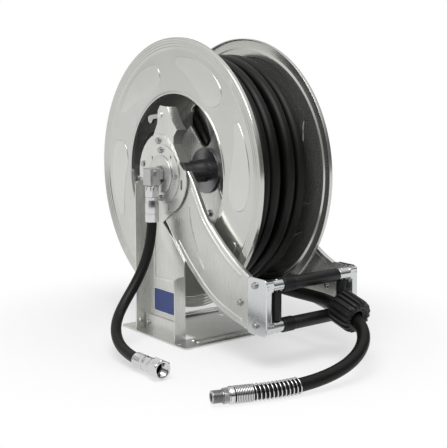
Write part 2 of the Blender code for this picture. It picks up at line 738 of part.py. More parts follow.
def make_hub(drum):
    """Turning hub tube with its flange, and the dished spider that carries the core."""
    bore = SHAFT_RADIUS + GAP
    hub = [(24, 24), (24, -8), (46, -8), (46, -13), (23, -13), (23, -87.3), (31, -87.3), (31, -91)]
    profile = [(r * DRAWN, x * DRAWN) for r, x in hub]
    profile += [(bore, -91 * DRAWN), (bore, 24 * DRAWN)]
    keep(on_axis("hub_tube", profile, 20, closed=True), DARK, drum)
    sheet = 2.5
    near_side = [(24.5, -7.7), (104, -7.7), (138, 12), (156.7, 12)]
    far_side = [(156.7, 12 + sheet), (136, 12 + sheet), (103, -7.7 + sheet), (24.5, -7.7 + sheet)]
    points = [(r * DRAWN, x * DRAWN) for r, x in near_side + far_side]
    spider = on_axis("drum_spider", points[::-1], BIG_TURN, closed=True)
    step = 360 / SPIDER_ARMS
    for k in range(SPIDER_ARMS):
        opening = side_plate("spider_opening_%d" % k, [spider_opening(SPIDER_TURN + step * (k + 0.5))],
                             60 * DRAWN, 5 * DRAWN)
        cut(spider, opening)
        y, z = polar(87, SPIDER_TURN + step * k)
        head = cylinder("spider_bolt_%d" % k, 7 * DRAWN, 12 * DRAWN,
                        (-13 * DRAWN, y * DRAWN, AXIS_HEIGHT + z * DRAWN), (1, 0, 0), 6)
        join(spider, head)
    keep(spider, STEEL, drum)


CASE_WALL = 2


def make_core(drum):
    """Tube that the hose winds on, and the sheet case of the rewind spring inside it.

    The case is hollow and open towards the shaft, where the spring's inner end is held.
    """
    inside = DISC_PLANE - (RIM_DEPTH + 1) * DRAWN - GAP
    core = on_axis("drum_core", ring_profile(157 * DRAWN, CORE_RADIUS, -inside, inside), BIG_TURN,
                   closed=True)
    keep(core, STEEL, drum)
    wall = CASE_WALL
    case = [(15, 74), (60, 74), (66, 70), (146, 70), (152, 66), (152, 24.3), (15, 24.3),
            (15, 24.3 + wall), (152 - wall, 24.3 + wall), (152 - wall, 65.2), (145.2, 70 - wall),
            (65.2, 70 - wall), (59.2, 74 - wall), (15, 74 - wall)]
    profile = [(r * DRAWN, x * DRAWN) for r, x in case]
    keep(on_axis("spring_case", profile, 32, closed=True), STEEL, drum)


INNER_HOSE_X = -66
INNER_HOSE_ROUTE = [(132.5, -6.7), (132.5, 12), (128, 35), (116, 55), (97, 67), (73, 70), (49, 62),
                    (31, 47), (21, 32), (13.2, 20)]


def make_inner_hose(drum):
    """Short hose that carries the water from the hub to an elbow on the core."""
    x = INNER_HOSE_X * DRAWN
    route = [(x, y * DRAWN, AXIS_HEIGHT + z * DRAWN) for y, z in INNER_HOSE_ROUTE]
    path = evenly(smooth(route, 8), 0.014)
    keep(tube("inner_hose", path, 9.5 * DRAWN, 2), RUBBER, drum)
    low = Vector((x, 132.5 * DRAWN, AXIS_HEIGHT - 38 * DRAWN))
    elbow = cylinder("inner_elbow", 12.5 * DRAWN, 31 * DRAWN, low, (0, 0, 1), 16)
    leg = cylinder("inner_elbow_leg", 9 * DRAWN, 19 * DRAWN, low + Vector((0, 0, 12 * DRAWN)),
                   (0, 1, 0), 16)
    keep(join(elbow, leg), DARK, drum)


# ---------------------------------------------------------------- winding
FRONT_PASSES = [(0, 63), (0.75, 45.4), (1.75, 18), (2.75, -19), (3.75, -42.8), (4.75, -66.4)]
WINDING_TURNS = 4.55
POINTS_PER_TURN = 24


def turn_position(turns_left):
    """X of the turns, from where the hose leaves the drum back towards the near disc."""
    for (a, x_a), (b, x_b) in zip(FRONT_PASSES, FRONT_PASSES[1:]):
        if turns_left <= b:
            return (x_a + (x_b - x_a) * (turns_left - a) / (b - a)) * DRAWN
    return FRONT_PASSES[-1][1] * DRAWN


def winding_path():
    """Outer layer of turns about the drum axis; it leaves underneath, towards -Y.

    The turns lie side by side with one wide gap, as the hose happens to lie.
    """
    path = []
    count = round(POINTS_PER_TURN * WINDING_TURNS)
    for i in range(count, -1, -1):
        turns_left = i / POINTS_PER_TURN
        angle = 2 * math.pi * turns_left - math.pi / 2
        path.append(Vector((turn_position(turns_left), WINDING_RADIUS * math.cos(angle),
                            AXIS_HEIGHT + WINDING_RADIUS * math.sin(angle))))
    return path


def with_straight_ends(path, length):
    first = path[0] + (path[0] - path[1]).normalized() * length
    last = path[-1] + Vector((0, -1, 0)) * length
    return [first] + path + [last]


def make_winding(drum):
    path = with_straight_ends(winding_path(), HOSE_DIAMETER)
    keep(tube("hose_winding", path, HOSE_DIAMETER / 2, 1), RUBBER, drum)
    print("hose_winding least gap %.2f mm" % (1000 * least_gap(path, HOSE_DIAMETER / 2, 12)))
    inside = DISC_PLANE - (RIM_DEPTH + 1) * DRAWN - GAP
    flat = math.cos(math.pi / POINTS_PER_TURN)
    top = WINDING_RADIUS * flat - HOSE_DIAMETER / 2 - GAP
    low = CORE_RADIUS + GAP
    keep(on_axis("hose_core", ring_profile(low, top, -inside, inside), BIG_TURN, closed=True),
         RUBBER, drum)


# ---------------------------------------------------------------- hose guide
LUG = 11
NEAR_LUG = -70
FAR_LUG = 66


def guide_levels():
    low = WINDOW_LOW - ROLLER_RADIUS
    high = WINDOW_HIGH + ROLLER_RADIUS
    return low, high


def make_guide_side(name, plate_x, lug_end, upright_x, arm_face):
    """Cast bracket outside an arm: plate, front wall and two lugs that carry the rollers."""
    low, high = guide_levels()
    outline = rounded_box((GUIDE_Y - LUG * DRAWN, low - 15 * DRAWN),
                          (GUIDE_Y + 42 * DRAWN, high + 14 * DRAWN), 7 * DRAWN, 2)
    drawn = [(y / DRAWN, (z - AXIS_HEIGHT) / DRAWN) for y, z in outline]
    holes = [circle(at, BOLT_HOLE / DRAWN, 8) for at in GUIDE_BOLTS]
    bracket = side_plate(name, [drawn] + holes, 3 * DRAWN, plate_x)
    lug = LUG * DRAWN
    for k, z in enumerate((low, high)):
        ends = sorted((plate_x, lug_end))
        block = box(name + "_lug_%d" % k, (ends[0], GUIDE_Y - lug + GAP, z - lug),
                    (ends[1], GUIDE_Y + lug, z + lug))
        join(bracket, block)
    inner = sorted((plate_x, arm_face))
    wall = box(name + "_wall", (inner[0], GUIDE_Y - lug + 2 * GAP, low - lug + GAP),
               (inner[1], GUIDE_Y - lug + 4 * DRAWN, high + lug - GAP))
    join(bracket, wall)
    for k, z in enumerate((low, high)):
        bore = cylinder(name + "_bore_%d" % k, 4.5 * DRAWN, 16 * DRAWN,
                        (lug_end - 8 * DRAWN, GUIDE_Y, z), (1, 0, 0), 12)
        cut(bracket, bore)
    upright = cylinder(name + "_upright_bore", 4.5 * DRAWN, 0.2, (upright_x, GUIDE_Y, low - 0.05),
                       (0, 0, 1), 12)
    cut(bracket, upright)
    return keep(bracket, CAST)


def make_guide():
    """Cast brackets, four pins and four rollers round the window that the hose passes."""
    low, high = guide_levels()
    near_x = NEAR_ARM_X - SHEET / 2 - GAP - 1.5 * DRAWN
    far_x = FAR_ARM_X + SHEET / 2 + GAP + 1.5 * DRAWN
    near_end = NEAR_LUG * DRAWN
    far_end = FAR_LUG * DRAWN
    near_upright = -81.5 * DRAWN
    far_upright = 78 * DRAWN
    make_guide_side("near_bracket", near_x, near_end, near_upright, -98 * DRAWN)
    make_guide_side("far_bracket", far_x, far_end, far_upright, 94 * DRAWN)
    for label, z in (("lower", low), ("upper", high)):
        make_roller(label, Vector((near_end, GUIDE_Y, z)), Vector((far_end, GUIDE_Y, z)),
                    ROLLER_RADIUS, 6 * DRAWN, 26 * DRAWN)
    for label, x in (("near", near_upright), ("far", far_upright)):
        make_roller(label, Vector((x, GUIDE_Y, low + LUG * DRAWN)),
                    Vector((x, GUIDE_Y, high - LUG * DRAWN)),
                    UPRIGHT_ROLLER_RADIUS, 2 * LUG * DRAWN, 0)
    for name, x, out in (("near", near_x - 1.5 * DRAWN, -1), ("far", far_x + 1.5 * DRAWN, 1)):
        for k, (y, z) in enumerate(GUIDE_BOLTS):
            place = (x, y * DRAWN, AXIS_HEIGHT + z * DRAWN)
            bolt("bolt_guide_%s_%d" % (name, k + 1), place, (out, 0, 0),
                 3 * DRAWN + SHEET + 2 * GAP)


def make_roller(label, start, end, radius, pin_reach, collar):
    """Nylon roller with a bore on a fixed pin, which stops inside the lugs at both ends."""
    along = (end - start).normalized()
    length = (end - start).length
    pin = cylinder("pin_" + label, 4 * DRAWN, length + 2 * pin_reach, start - along * pin_reach,
                   along, 12)
    keep(pin, PLATED)
    axis = joint_axis("roller_%s_axis" % label, start)
    top = length - GAP
    bore = 4.5 * DRAWN
    edge = 1.5 * DRAWN
    profile = [(bore, top), (radius - edge, top), (radius, top - edge)]
    if collar:
        thick = radius + 1.2 * DRAWN
        profile += [(radius, collar), (thick, collar - edge), (thick, GAP + edge)]
    profile += [(radius, GAP + edge) if not collar else (thick - edge, GAP)]
    if not collar:
        profile += [(radius - edge, GAP)]
    profile += [(bore, GAP)]
    roller = turned("roller_" + label, profile, 16, closed=True)
    roller.location = start
    roller.rotation_euler = along.to_track_quat("Z", "Y").to_euler()
    keep(roller, NYLON, axis)


# ---------------------------------------------------------------- outlet hose
STOPPER_LENGTH = 55
OUTLET_HEIGHT = 15.4
OUTLET_ROUTE = [(49, -373, 85), (37, -401, 73), (17, -424, 60), (-11, -438, 46), (-46, -443, 32),
                (-87, -439, 22), (-134, -433, 15.8)]
OUTLET_LINE = [(-182, -426, OUTLET_HEIGHT), (-232, -408.6, OUTLET_HEIGHT)]
OUTLET_TURN = Vector((-0.9424, 0.3344, 0))


LEAD_ROUTE = [(63, -48, 0), (60.5, -90, 0), (56, -140, 0), (51.5, -190, 0.3), (48, -240, 1.8),
              (47, -278, 3.6), (47, -302, 3.4)]


def stopper_line():
    """Middle line of the hose stopper: its rear and front ends."""
    rear = Vector((GUIDE_X + 1 * DRAWN, GUIDE_Y - 22.5 * DRAWN, LEAD_HEIGHT - 0.5 * DRAWN))
    front = Vector(OUTLET_ROUTE[0]) * DRAWN
    along = (front - rear).normalized()
    return rear, along


def make_stopper():
    """Ribbed hose stopper: two halves clamped round the hose outside the guide."""
    rear, along = stopper_line()
    length = STOPPER_LENGTH * DRAWN
    middle = rear + along * length / 2
    path = [p for p in evenly(outlet_route(), 0.022) if (p - middle).length < length]
    bore = as_mesh(tube("stopper_bore", path, HOSE_DIAMETER / 2 + 1.5 * GAP, 2))
    outer = 34 * DRAWN
    for name, side in (("stopper_upper", 1), ("stopper_lower", -1)):
        outline = []
        for k in range(19):
            radius = outer if k % 2 == 0 else 0.88 * outer
            angle = math.radians(10 * k)
            outline.append((radius * math.cos(angle), (radius * math.sin(angle) + GAP / 2) * side))
        shell = plate(name, [outline], length)
        aim(shell, middle, along)
        cut(shell, bore)
        keep(shell, NYLON)


def outlet_route():
    """Smooth line of the hose from under the drum, through guide and stopper, to its fitting."""
    rear, along = stopper_line()
    route = [Vector((LEAD_X, -HOSE_DIAMETER - GAP, LEAD_HEIGHT))]
    route += [Vector((x * DRAWN, y * DRAWN, LEAD_HEIGHT + rise * DRAWN)) for x, y, rise in LEAD_ROUTE]
    route += [rear, rear + along * STOPPER_LENGTH * DRAWN]
    route += [Vector(p) * DRAWN for p in OUTLET_ROUTE[1:] + OUTLET_LINE]
    route.append(Vector(OUTLET_LINE[-1]) * DRAWN + OUTLET_TURN * 27 * DRAWN)
    return relaxed(evenly(smooth(route, 8), 0.008), 40)


def split_at(path, place):
    """Both parts of a path, parted by a gap across the straight step nearest to a place."""
    steps = range(2, len(path) - 3)
    k = min(steps, key=lambda i: ((path[i] + path[i + 1]) / 2 - place).length)
    middle = (path[k] + path[k + 1]) / 2
    half_gap = (path[k + 1] - path[k]).normalized() * GAP / 2
    return path[:k + 1] + [middle - half_gap], [middle + half_gap] + path[k + 1:]


def make_outlet():
    """Hose in two runs that meet inside the stopper, with its bend guard and fitting."""
    rear, along = stopper_line()
    fine = outlet_route()
    lead, tail = split_at(evenly(fine, 0.022), rear + along * STOPPER_LENGTH / 2 * DRAWN)
    end = tail[-1]
    keep(tube("hose_lead", lead, HOSE_DIAMETER / 2, 2), RUBBER)
    keep(tube("hose_tail", tail, HOSE_DIAMETER / 2, 2), RUBBER)
    print("outlet hose length %.0f mm, tightest bend %.0f mm"
          % (1000 * length_of(fine), 1000 * tightest_bend(evenly(fine, 0.022))))
    make_spring_guard(evenly(fine, 0.002))
    turn = OUTLET_TURN.normalized()
    start = end + turn * GAP
    collar = turned("outlet_ferrule", [(r * DRAWN, x * DRAWN) for r, x in
                                       ((6, 9), (11.5, 9), (12.5, 7.5), (14.5, 7), (14.5, 0), (6, 0))],
                    20, closed=True)
    aim(collar, start, turn)
    keep(collar, PLATED)
    start = start + turn * (9 * DRAWN + GAP)
    nipple = cylinder("outlet_nipple", 13.6 * DRAWN, 8 * DRAWN, start, turn, 6)
    stub = cylinder("outlet_thread", 10.5 * DRAWN, 27 * DRAWN, start, turn, 20)
    bore = cylinder("outlet_bore", 6.5 * DRAWN, 0.06, start - turn * 0.01, turn, 16)
    keep(cut(join(nipple, stub), bore), PLATED)


def make_spring_guard(path):
    """Bend guard: open curls along the hose, then close curls up to the ferrule."""
    wire = 1.1 * DRAWN
    steps = 8
    radius = (HOSE_DIAMETER / 2 + GAP + wire) / math.cos(math.pi / steps)
    close_pitch = 2 * wire + 0.00055
    close_length = 30 * DRAWN
    open_pitch = 7 * DRAWN
    open_length = 84 * DRAWN
    total = length_of(path)
    stations = []
    travelled = 1.6 * DRAWN
    while travelled < close_length + open_length:
        stations.append(total - travelled)
        pitch = close_pitch if travelled < close_length else open_pitch
        travelled += pitch / steps
    points = []
    covered = 0.0
    reach = [0.0]
    for a, b in zip(path, path[1:]):
        covered += (b - a).length
        reach.append(covered)
    up = Vector((0, 0, 1))
    k = len(path) - 2
    for i, station in enumerate(stations):
        while k > 0 and reach[k] > station:
            k -= 1
        share = (station - reach[k]) / (reach[k + 1] - reach[k])
        centre = path[k].lerp(path[k + 1], share)
        along = (path[k + 1] - path[k]).normalized()
        across = along.cross(up).normalized()
        over = across.cross(along)
        angle = 2 * math.pi * i / steps
        points.append(centre + (across * math.cos(angle) + over * math.sin(angle)) * radius)
    keep(tube("spring_guard", points, wire, 1), PLATED)
    print("spring_guard curls %.1f, least gap %.2f mm"
          % (len(points) / steps, 1000 * least_gap(points, wire, 6)))


# ---------------------------------------------------------------- inlet
ELBOW_X = -140
INLET_ROUTE = [(-140, 0, 207), (-146, -1, 180), (-160, -2, 145), (-187, -3, 105), (-221, -11, 73),
               (-251, -36, 49), (-270, -74, 31), (-278, -116, 20.5), (-279, -138, 18.8)]
INLET_HEIGHT = 18.8
INLET_END_Y = -158


def make_inlet():
    """Swivel elbow on the shaft, its nut and ferrule, and the supply hose with its nut."""
    face = SHAFT_NEAR * DRAWN - GAP
    x = ELBOW_X * DRAWN
    half = 12.3 * DRAWN
    top = AXIS_HEIGHT + 13 * DRAWN
    bottom = AXIS_HEIGHT - 21 * DRAWN
    body = box("elbow_body", (x - half, -half, bottom), (x + half, half, top))
    soften(body, 1.5 * DRAWN, 2)
    hexagon = cylinder("elbow_hexagon", 16.5 * DRAWN, face - x - half + 1 * DRAWN,
                       (x + half - 1 * DRAWN, 0, AXIS_HEIGHT), (1, 0, 0), 6)
    join(body, hexagon)
    keep(body, PLATED)
    level = bottom - GAP
    nut = cylinder("elbow_nut", 15.6 * DRAWN, 22 * DRAWN, (x, 0, level - 22 * DRAWN), (0, 0, 1), 6)
    keep(nut, PLATED)
    level -= 22 * DRAWN + GAP
    rings = [(11.2, 48), (12.5, 48), (12.5, 40), (13.2, 37), (13.2, 19), (12.5, 17), (13.2, 15),
             (13.2, 0), (11.2, 0)]
    ferrule = turned("inlet_ferrule", [(r * DRAWN, z * DRAWN) for r, z in rings], 16, closed=True)
    ferrule.location = (x, 0, level - 48 * DRAWN)
    keep(ferrule, PLATED)
    hose_radius = INLET_HOSE_DIAMETER / 2
    hose_top = Vector((x, 0, level - 10 * DRAWN))
    route = [hose_top, Vector((x, 0, level - 46 * DRAWN))]
    route += [Vector(p) * DRAWN for p in INLET_ROUTE]
    end = Vector((-279 * DRAWN, (INLET_END_Y - 14) * DRAWN, INLET_HEIGHT * DRAWN))
    route.append(end)
    path = evenly(relaxed(evenly(smooth(route, 8), 0.008), 30), 0.022)
    keep(tube("inlet_hose", path, hose_radius, 2), RUBBER)
    print("inlet_hose length %.0f mm, tightest bend %.0f mm"
          % (1000 * length_of(path), 1000 * tightest_bend(path)))
    start = Vector((end.x, INLET_END_Y * DRAWN, end.z))
    front = Vector((0, -1, 0))
    sleeve = [(10.5, 54.7), (13.2, 54.7), (13.2, 49), (11.7, 46), (13.2, 43), (13.2, 26),
              (12.2, 24), (13.2, 22), (13.2, 0), (11.4, 0), (10.5, 6)]
    tail = turned("inlet_tail", [(r * DRAWN, z * DRAWN) for r, z in sleeve], 16, closed=True)
    aim(tail, start, front)
    keep(tail, PLATED)
    nut_start = start + front * (54.7 * DRAWN + GAP)
    axis = joint_axis("inlet_nut_axis", nut_start)
    nut = cylinder("inlet_nut", 18.475 * DRAWN, 23 * DRAWN, nut_start, front, 6)
    thread = cylinder("inlet_thread", 12 * DRAWN, 24 * DRAWN, nut_start + front * 4 * DRAWN, front, 20)
    throat = cylinder("inlet_throat", 7 * DRAWN, 0.04, nut_start - front * 0.01, front, 16)
    cut(nut, thread, throat)
    keep(nut, PLATED, axis)


# ---------------------------------------------------------------- the reel
clear_scene()
PARTS = make_collection("hose_reel")
TOOLS = make_collection("cutters")
drum_axis = joint_axis("drum_axis", (0, 0, AXIS_HEIGHT))

make_base()
make_pedestal()
RING_BOLTS = [polar(RING_BOLT_RADIUS, 90 * k) for k in range(4)]
make_arm("near_arm", NEAR_ARM_X, 1, 30, GUIDE_BOLTS + HEAD_BOLTS + RING_BOLTS)
make_arm("far_arm", FAR_ARM_X, -1, SHAFT_RADIUS / DRAWN + 0.3, GUIDE_BOLTS)
make_head()
make_shaft()
make_ratchet(drum_axis)
make_pawl()
make_disc("near_disc", -1, drum_axis)
make_disc("far_disc", 1, drum_axis)
make_hub(drum_axis)
make_core(drum_axis)
make_inner_hose(drum_axis)
make_winding(drum_axis)
make_guide()
make_stopper()
make_outlet()
make_inlet()
for arm_name, arm_x, arm_out in (("near", NEAR_ARM_X, -1), ("far", FAR_ARM_X, 1)):
    arm_place = (arm_x + arm_out * SHEET / 2, ARM_BOLT[0] * DRAWN, AXIS_HEIGHT + ARM_BOLT[1] * DRAWN)
    bolt("bolt_arm_" + arm_name, arm_place, (arm_out, 0, 0), SHEET)
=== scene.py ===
"""Dressed model of an open spring-rewind hose reel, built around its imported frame.

Lengths are metres in the row frame: X along the drum axis, -Y the front, +Z up.
Sizes written as drawn millimetres are turned into metres by MM.
"""

import math

import bpy
import bmesh
import numpy as np
from mathutils import Matrix, Vector
from mathutils.geometry import delaunay_2d_cdt


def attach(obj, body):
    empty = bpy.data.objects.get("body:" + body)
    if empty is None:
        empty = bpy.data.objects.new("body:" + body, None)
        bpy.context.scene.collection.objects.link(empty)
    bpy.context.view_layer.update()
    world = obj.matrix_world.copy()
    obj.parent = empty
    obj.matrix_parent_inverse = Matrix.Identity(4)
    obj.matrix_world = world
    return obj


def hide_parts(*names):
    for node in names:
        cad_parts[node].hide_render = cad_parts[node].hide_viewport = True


bl_info = {
    "name": "Hose reel",
    "version": (1, 0, 0),
    "blender": (4, 5, 0),
    "location": "View3D > Sidebar > Hose reel",
    "description": "Builds the surfaces, finishes and setting of an open hose reel",
    "category": "Object",
}

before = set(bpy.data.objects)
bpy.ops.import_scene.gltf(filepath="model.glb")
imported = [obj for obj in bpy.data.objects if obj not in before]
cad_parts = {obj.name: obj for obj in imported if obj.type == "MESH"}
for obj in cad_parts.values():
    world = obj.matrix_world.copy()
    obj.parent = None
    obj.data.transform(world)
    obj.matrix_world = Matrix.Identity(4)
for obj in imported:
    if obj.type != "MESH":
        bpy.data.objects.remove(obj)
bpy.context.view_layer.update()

MM = 0.001
AXIS = np.array([0.0, 0.0, 0.322])
UP = np.array([0.0, 0.0, 1.0])
HEX = math.cos(math.pi / 6)  # a hexagon's radius to its flats, for a radius of 1 to its corners

# Sheets of the frame: their thickness, the gap between bolted parts and the X of their middles.
SHEET = 0.0025
GAP = 0.0003
WEB_X, HEAD_X, RING_X = -0.11125, -0.11405, -0.11685
NEAR_ARM_X, FAR_ARM_X = -0.10845, 0.104
ELBOW_X = -0.140

# The hose guide: Y of its rollers, Z of the lower and the upper one, and its brackets' plate.
ROLLER_Y = -0.300
ROLLER_LOW, ROLLER_HIGH = 0.0763, 0.1493
BRACKET_PLATE = 0.003

# Route points of the hoses. They repeat the points of the imported source; the
# outlet hose runs through its lead, straight through the stopper and on through its bend.
OUTLET_LEAD = [(0.0630, -0.0233, 0.1010), (0.0630, -0.0480, 0.1010), (0.0605, -0.0900, 0.1010),
               (0.0560, -0.1400, 0.1010), (0.0515, -0.1900, 0.1013), (0.0480, -0.2400, 0.1028),
               (0.0470, -0.2780, 0.1046), (0.0470, -0.3020, 0.1044)]
STOPPER_REAR = np.array([0.048, -0.3225, 0.1005])
STOPPER_FRONT = np.array([0.049, -0.373, 0.085])
STOPPER_LENGTH = 0.055
OUTLET_BEND = [(0.037, -0.401, 0.073), (0.017, -0.424, 0.060), (-0.011, -0.438, 0.046),
               (-0.046, -0.443, 0.032), (-0.087, -0.439, 0.022), (-0.134, -0.433, 0.0158),
               (-0.182, -0.426, 0.0154), (-0.232, -0.4086, 0.0154)]
OUTLET_AIM = np.array([-0.9424, 0.3344, 0.0])  # the way the hose points at its end
OUTLET_LAST = 0.027  # its last straight length
SUPPLY_POINTS = [(-0.140, 0.0, 0.2684), (-0.140, 0.0, 0.2324), (-0.140, 0.0, 0.207),
                 (-0.146, -0.001, 0.180), (-0.160, -0.002, 0.145), (-0.187, -0.003, 0.105),
                 (-0.221, -0.011, 0.073), (-0.251, -0.036, 0.049), (-0.270, -0.074, 0.031),
                 (-0.278, -0.116, 0.0205), (-0.279, -0.138, 0.0188), (-0.279, -0.172, 0.0188)]
# Hub hose: Y and the height over the axis, at one X.
HUB_HOSE_X = -0.066
HUB_POINTS = [(0.1325, -0.0067), (0.1325, 0.012), (0.128, 0.035), (0.116, 0.055),
              (0.097, 0.067), (0.073, 0.070), (0.049, 0.062), (0.031, 0.047), (0.021, 0.032),
              (0.0132, 0.020)]


# ---------------------------------------------------------------- sizes and colours
class ReelSizes(bpy.types.PropertyGroup):
    """Sizes of the pieces that this file adds."""

    hose: bpy.props.FloatProperty(
        name="Hose diameter", description="Outside of the delivery hose",
        default=0.023, unit="LENGTH")
    supply: bpy.props.FloatProperty(
        name="Supply hose diameter", description="Outside of the supply hose",
        default=0.020, unit="LENGTH")
    inner: bpy.props.FloatProperty(
        name="Inner hose diameter", description="Outside of the hose inside the drum",
        default=0.019, unit="LENGTH")
    edge: bpy.props.FloatProperty(
        name="Edge rounding", description="Rounding along cut sheet edges",
        default=0.0005, unit="LENGTH")


class ReelColours(bpy.types.PropertyGroup):
    """Colours of the finishes."""

    steel: bpy.props.FloatVectorProperty(
        name="Stainless sheet", description="Satin sheet", subtype="COLOR", size=3,
        default=(0.60, 0.605, 0.575), min=0, max=1)
    casting: bpy.props.FloatVectorProperty(
        name="Cast alloy", description="Guide brackets", subtype="COLOR", size=3,
        default=(0.62, 0.63, 0.64), min=0, max=1)
    plating: bpy.props.FloatVectorProperty(
        name="Plated steel", description="Fittings and bolts", subtype="COLOR", size=3,
        default=(0.64, 0.64, 0.65), min=0, max=1)
    machined: bpy.props.FloatVectorProperty(
        name="Machined steel", description="Hub and shaft", subtype="COLOR", size=3,
        default=(0.24, 0.24, 0.25), min=0, max=1)
    rubber: bpy.props.FloatVectorProperty(
        name="Rubber", description="Hose cover", subtype="COLOR", size=3,
        default=(0.0045, 0.0045, 0.0040), min=0, max=1)
    nylon: bpy.props.FloatVectorProperty(
        name="Nylon", description="Rollers and stopper", subtype="COLOR", size=3,
        default=(0.0055, 0.0055, 0.0058), min=0, max=1)
    label: bpy.props.FloatVectorProperty(
        name="Label", description="Plain label", subtype="COLOR", size=3,
        default=(0.014, 0.040, 0.200), min=0, max=1)
    floor: bpy.props.FloatVectorProperty(
        name="Floor", description="Floor and backdrop", subtype="COLOR", size=3,
        default=(0.90, 0.90, 0.90), min=0, max=1)


def sizes():
    """Sizes set for this scene."""
    return bpy.context.scene.reel_sizes


def colours():
    """Colours set for this scene."""
    return bpy.context.scene.reel_colours


# ---------------------------------------------------------------- surfaces
def unit(v):
    """The same directions with a length of 1."""
    v = np.asarray(v, float)
    return v / np.maximum(np.linalg.norm(v, axis=-1, keepdims=True), 1e-12)


def round_angles(count):
    """Even angles over one full turn."""
    return 2 * math.pi * np.arange(count) / count


def in_metres(rings):
    """Rings drawn in millimetres, in metres."""
    return [[value * MM for value in ring] for ring in rings]


def placed(name, mesh, material, body, replaced, sharp):
    """An object for a mesh, smooth up to an angle between its faces, riding on a body."""
    mesh.shade_smooth()
    mesh.set_sharp_from_angle(angle=math.radians(sharp))
    mesh.materials.append(material)
    obj = bpy.data.objects.new(name, mesh)
    bpy.context.scene.collection.objects.link(obj)
    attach(obj, body)
    if replaced:
        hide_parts(*replaced)
    return obj


def piece(name, points, faces, material, body, replaced=(), uv=None, sharp=40):
    """A finished piece from points and faces, riding on a body."""
    mesh = bpy.data.meshes.new(name)
    mesh.from_pydata(np.asarray(points, float).tolist(), [], faces)
    mesh.update()
    if uv is not None:
        layer = mesh.uv_layers.new(name="along")
        corner = np.zeros(len(mesh.loops), np.int32)
        mesh.loops.foreach_get("vertex_index", corner)
        layer.data.foreach_set("uv", np.asarray(uv, np.float32)[corner].ravel())
    return placed(name, mesh, material, body, replaced, sharp)


def eased(obj, width, angle, clamp, segments=2):
    """Rounds the edges that turn by more than an angle, and keeps the flats flat."""
    bevel = obj.modifiers.new("rounding", "BEVEL")
    bevel.width = width or sizes().edge
    bevel.segments = segments
    bevel.limit_method = "ANGLE"
    bevel.angle_limit = math.radians(angle)
    bevel.use_clamp_overlap = clamp
    obj.modifiers.new("flat_faces", "WEIGHTED_NORMAL").keep_sharp = True


def joined(shells):
    """Points and faces of several surfaces as one."""
    parts, made, first = [], [], 0
    for points, faces in shells:
        parts.append(points)
        made += [[k + first for k in f] for f in faces]
        first += len(points)
    return np.vstack(parts), made


def grid_faces(rows, columns, loop_rows=False):
    """Quads of a grid that closes on itself along its columns, and along its rows if asked."""
    last = rows if loop_rows else rows - 1
    i = np.arange(last)[:, None]
    j = np.arange(columns)[None, :]
    a = i * columns + j
    b = i * columns + (j + 1) % columns
    c = ((i + 1) % rows) * columns + (j + 1) % columns
    d = ((i + 1) % rows) * columns + j
    return np.stack([a, b, c, d], -1).reshape(-1, 4).tolist()


def closed_grid(grid, loop_rows=False):
    """Points and faces of a grid of rings, with a fan to a middle point over each open end."""
    rows, columns = grid.shape[:2]
    points = grid.reshape(-1, 3)
    faces = grid_faces(rows, columns, loop_rows)
    if not loop_rows:
        middle = len(points)
        points = np.vstack([points, grid[0].mean(0), grid[-1].mean(0)])
        j = np.arange(columns)
        k = (j + 1) % columns
        start = np.stack([np.full(columns, middle), k, j], -1)
        base = (rows - 1) * columns
        end = np.stack([np.full(columns, middle + 1), base + j, base + k], -1)
        faces = faces + start.tolist() + end.tolist()
    return points, faces


def crossing(direction, reference=UP):
    """Two unit directions square to a direction, the first level where that is possible."""
    direction = unit(direction)
    side = np.cross(direction, reference)
    if np.linalg.norm(side) < 0.1:
        side = np.cross(direction, (0.0, 1.0, 0.0))
    side = unit(side)
    return side, np.cross(side, direction)


def turned(start, direction, rings, count=64, flats=6, twist=0.0):
    """Rings along an axis: ring (t, r, a) has radius min(r, a / cos(angle from a flat's middle)).

    A ring with no apothem `a` is round; one with it is a prism with as many flats, which the
    round radius clips as a chamfer does.
    """
    angle = round_angles(count)
    step = 2 * math.pi / flats
    from_flat = (angle + twist + step / 2) % step - step / 2
    t = np.array([r[0] for r in rings], float)
    radius = np.array([r[1] for r in rings], float)[:, None] * np.ones(count)
    apothem = np.array([r[2] if len(r) > 2 and r[2] else 1e3 for r in rings], float)
    radius = np.minimum(radius, apothem[:, None] / np.cos(from_flat)[None, :])
    side, over = crossing(direction)
    round_about = np.cos(angle)[:, None] * side + np.sin(angle)[:, None] * over
    return (np.asarray(start, float) + t[:, None, None] * unit(direction)
            + radius[:, :, None] * round_about[None])


def turned_piece(name, start, direction, rings, material, body, replaced=(), count=64,
                 flats=6, twist=0.0, hollow=False, sharp=40):
    """A turned piece: a closed loop of rings where it is hollow, else with both ends closed."""
    grid = turned(start, direction, in_metres(rings), count, flats, twist)
    points, faces = outward(*closed_grid(grid, hollow))
    return piece(name, points, faces, material, body, replaced, sharp=sharp)


def outward(points, faces):
    """The same closed surface with its faces turned outwards, judged by its volume."""
    p = np.asarray(points, float)
    p = p - p.mean(0)
    volume = 0.0
    for size in (3, 4):
        f = np.array([x for x in faces if len(x) == size], int)
        if len(f):
            for k in range(1, size - 1):
                volume += np.einsum("ij,ij->", p[f[:, 0]], np.cross(p[f[:, k]], p[f[:, k + 1]]))
    if volume < 0:
        faces = [list(reversed(f)) for f in faces]
    return points, faces


def between(points, steps):
    """A Catmull-Rom curve from the second point to the one before the last, by whole arrays."""
    t = np.linspace(0, 1, steps, endpoint=False)[:, None, None]
    a, b, c, d = points[:-3], points[1:-2], points[2:-1], points[3:]
    curve = 0.5 * (2 * b + (c - a) * t + (2 * a - 5 * b + 4 * c - d) * t * t
                   + (3 * b - a - 3 * c + d) * t ** 3)
    return curve.transpose(1, 0, 2).reshape(-1, points.shape[1])


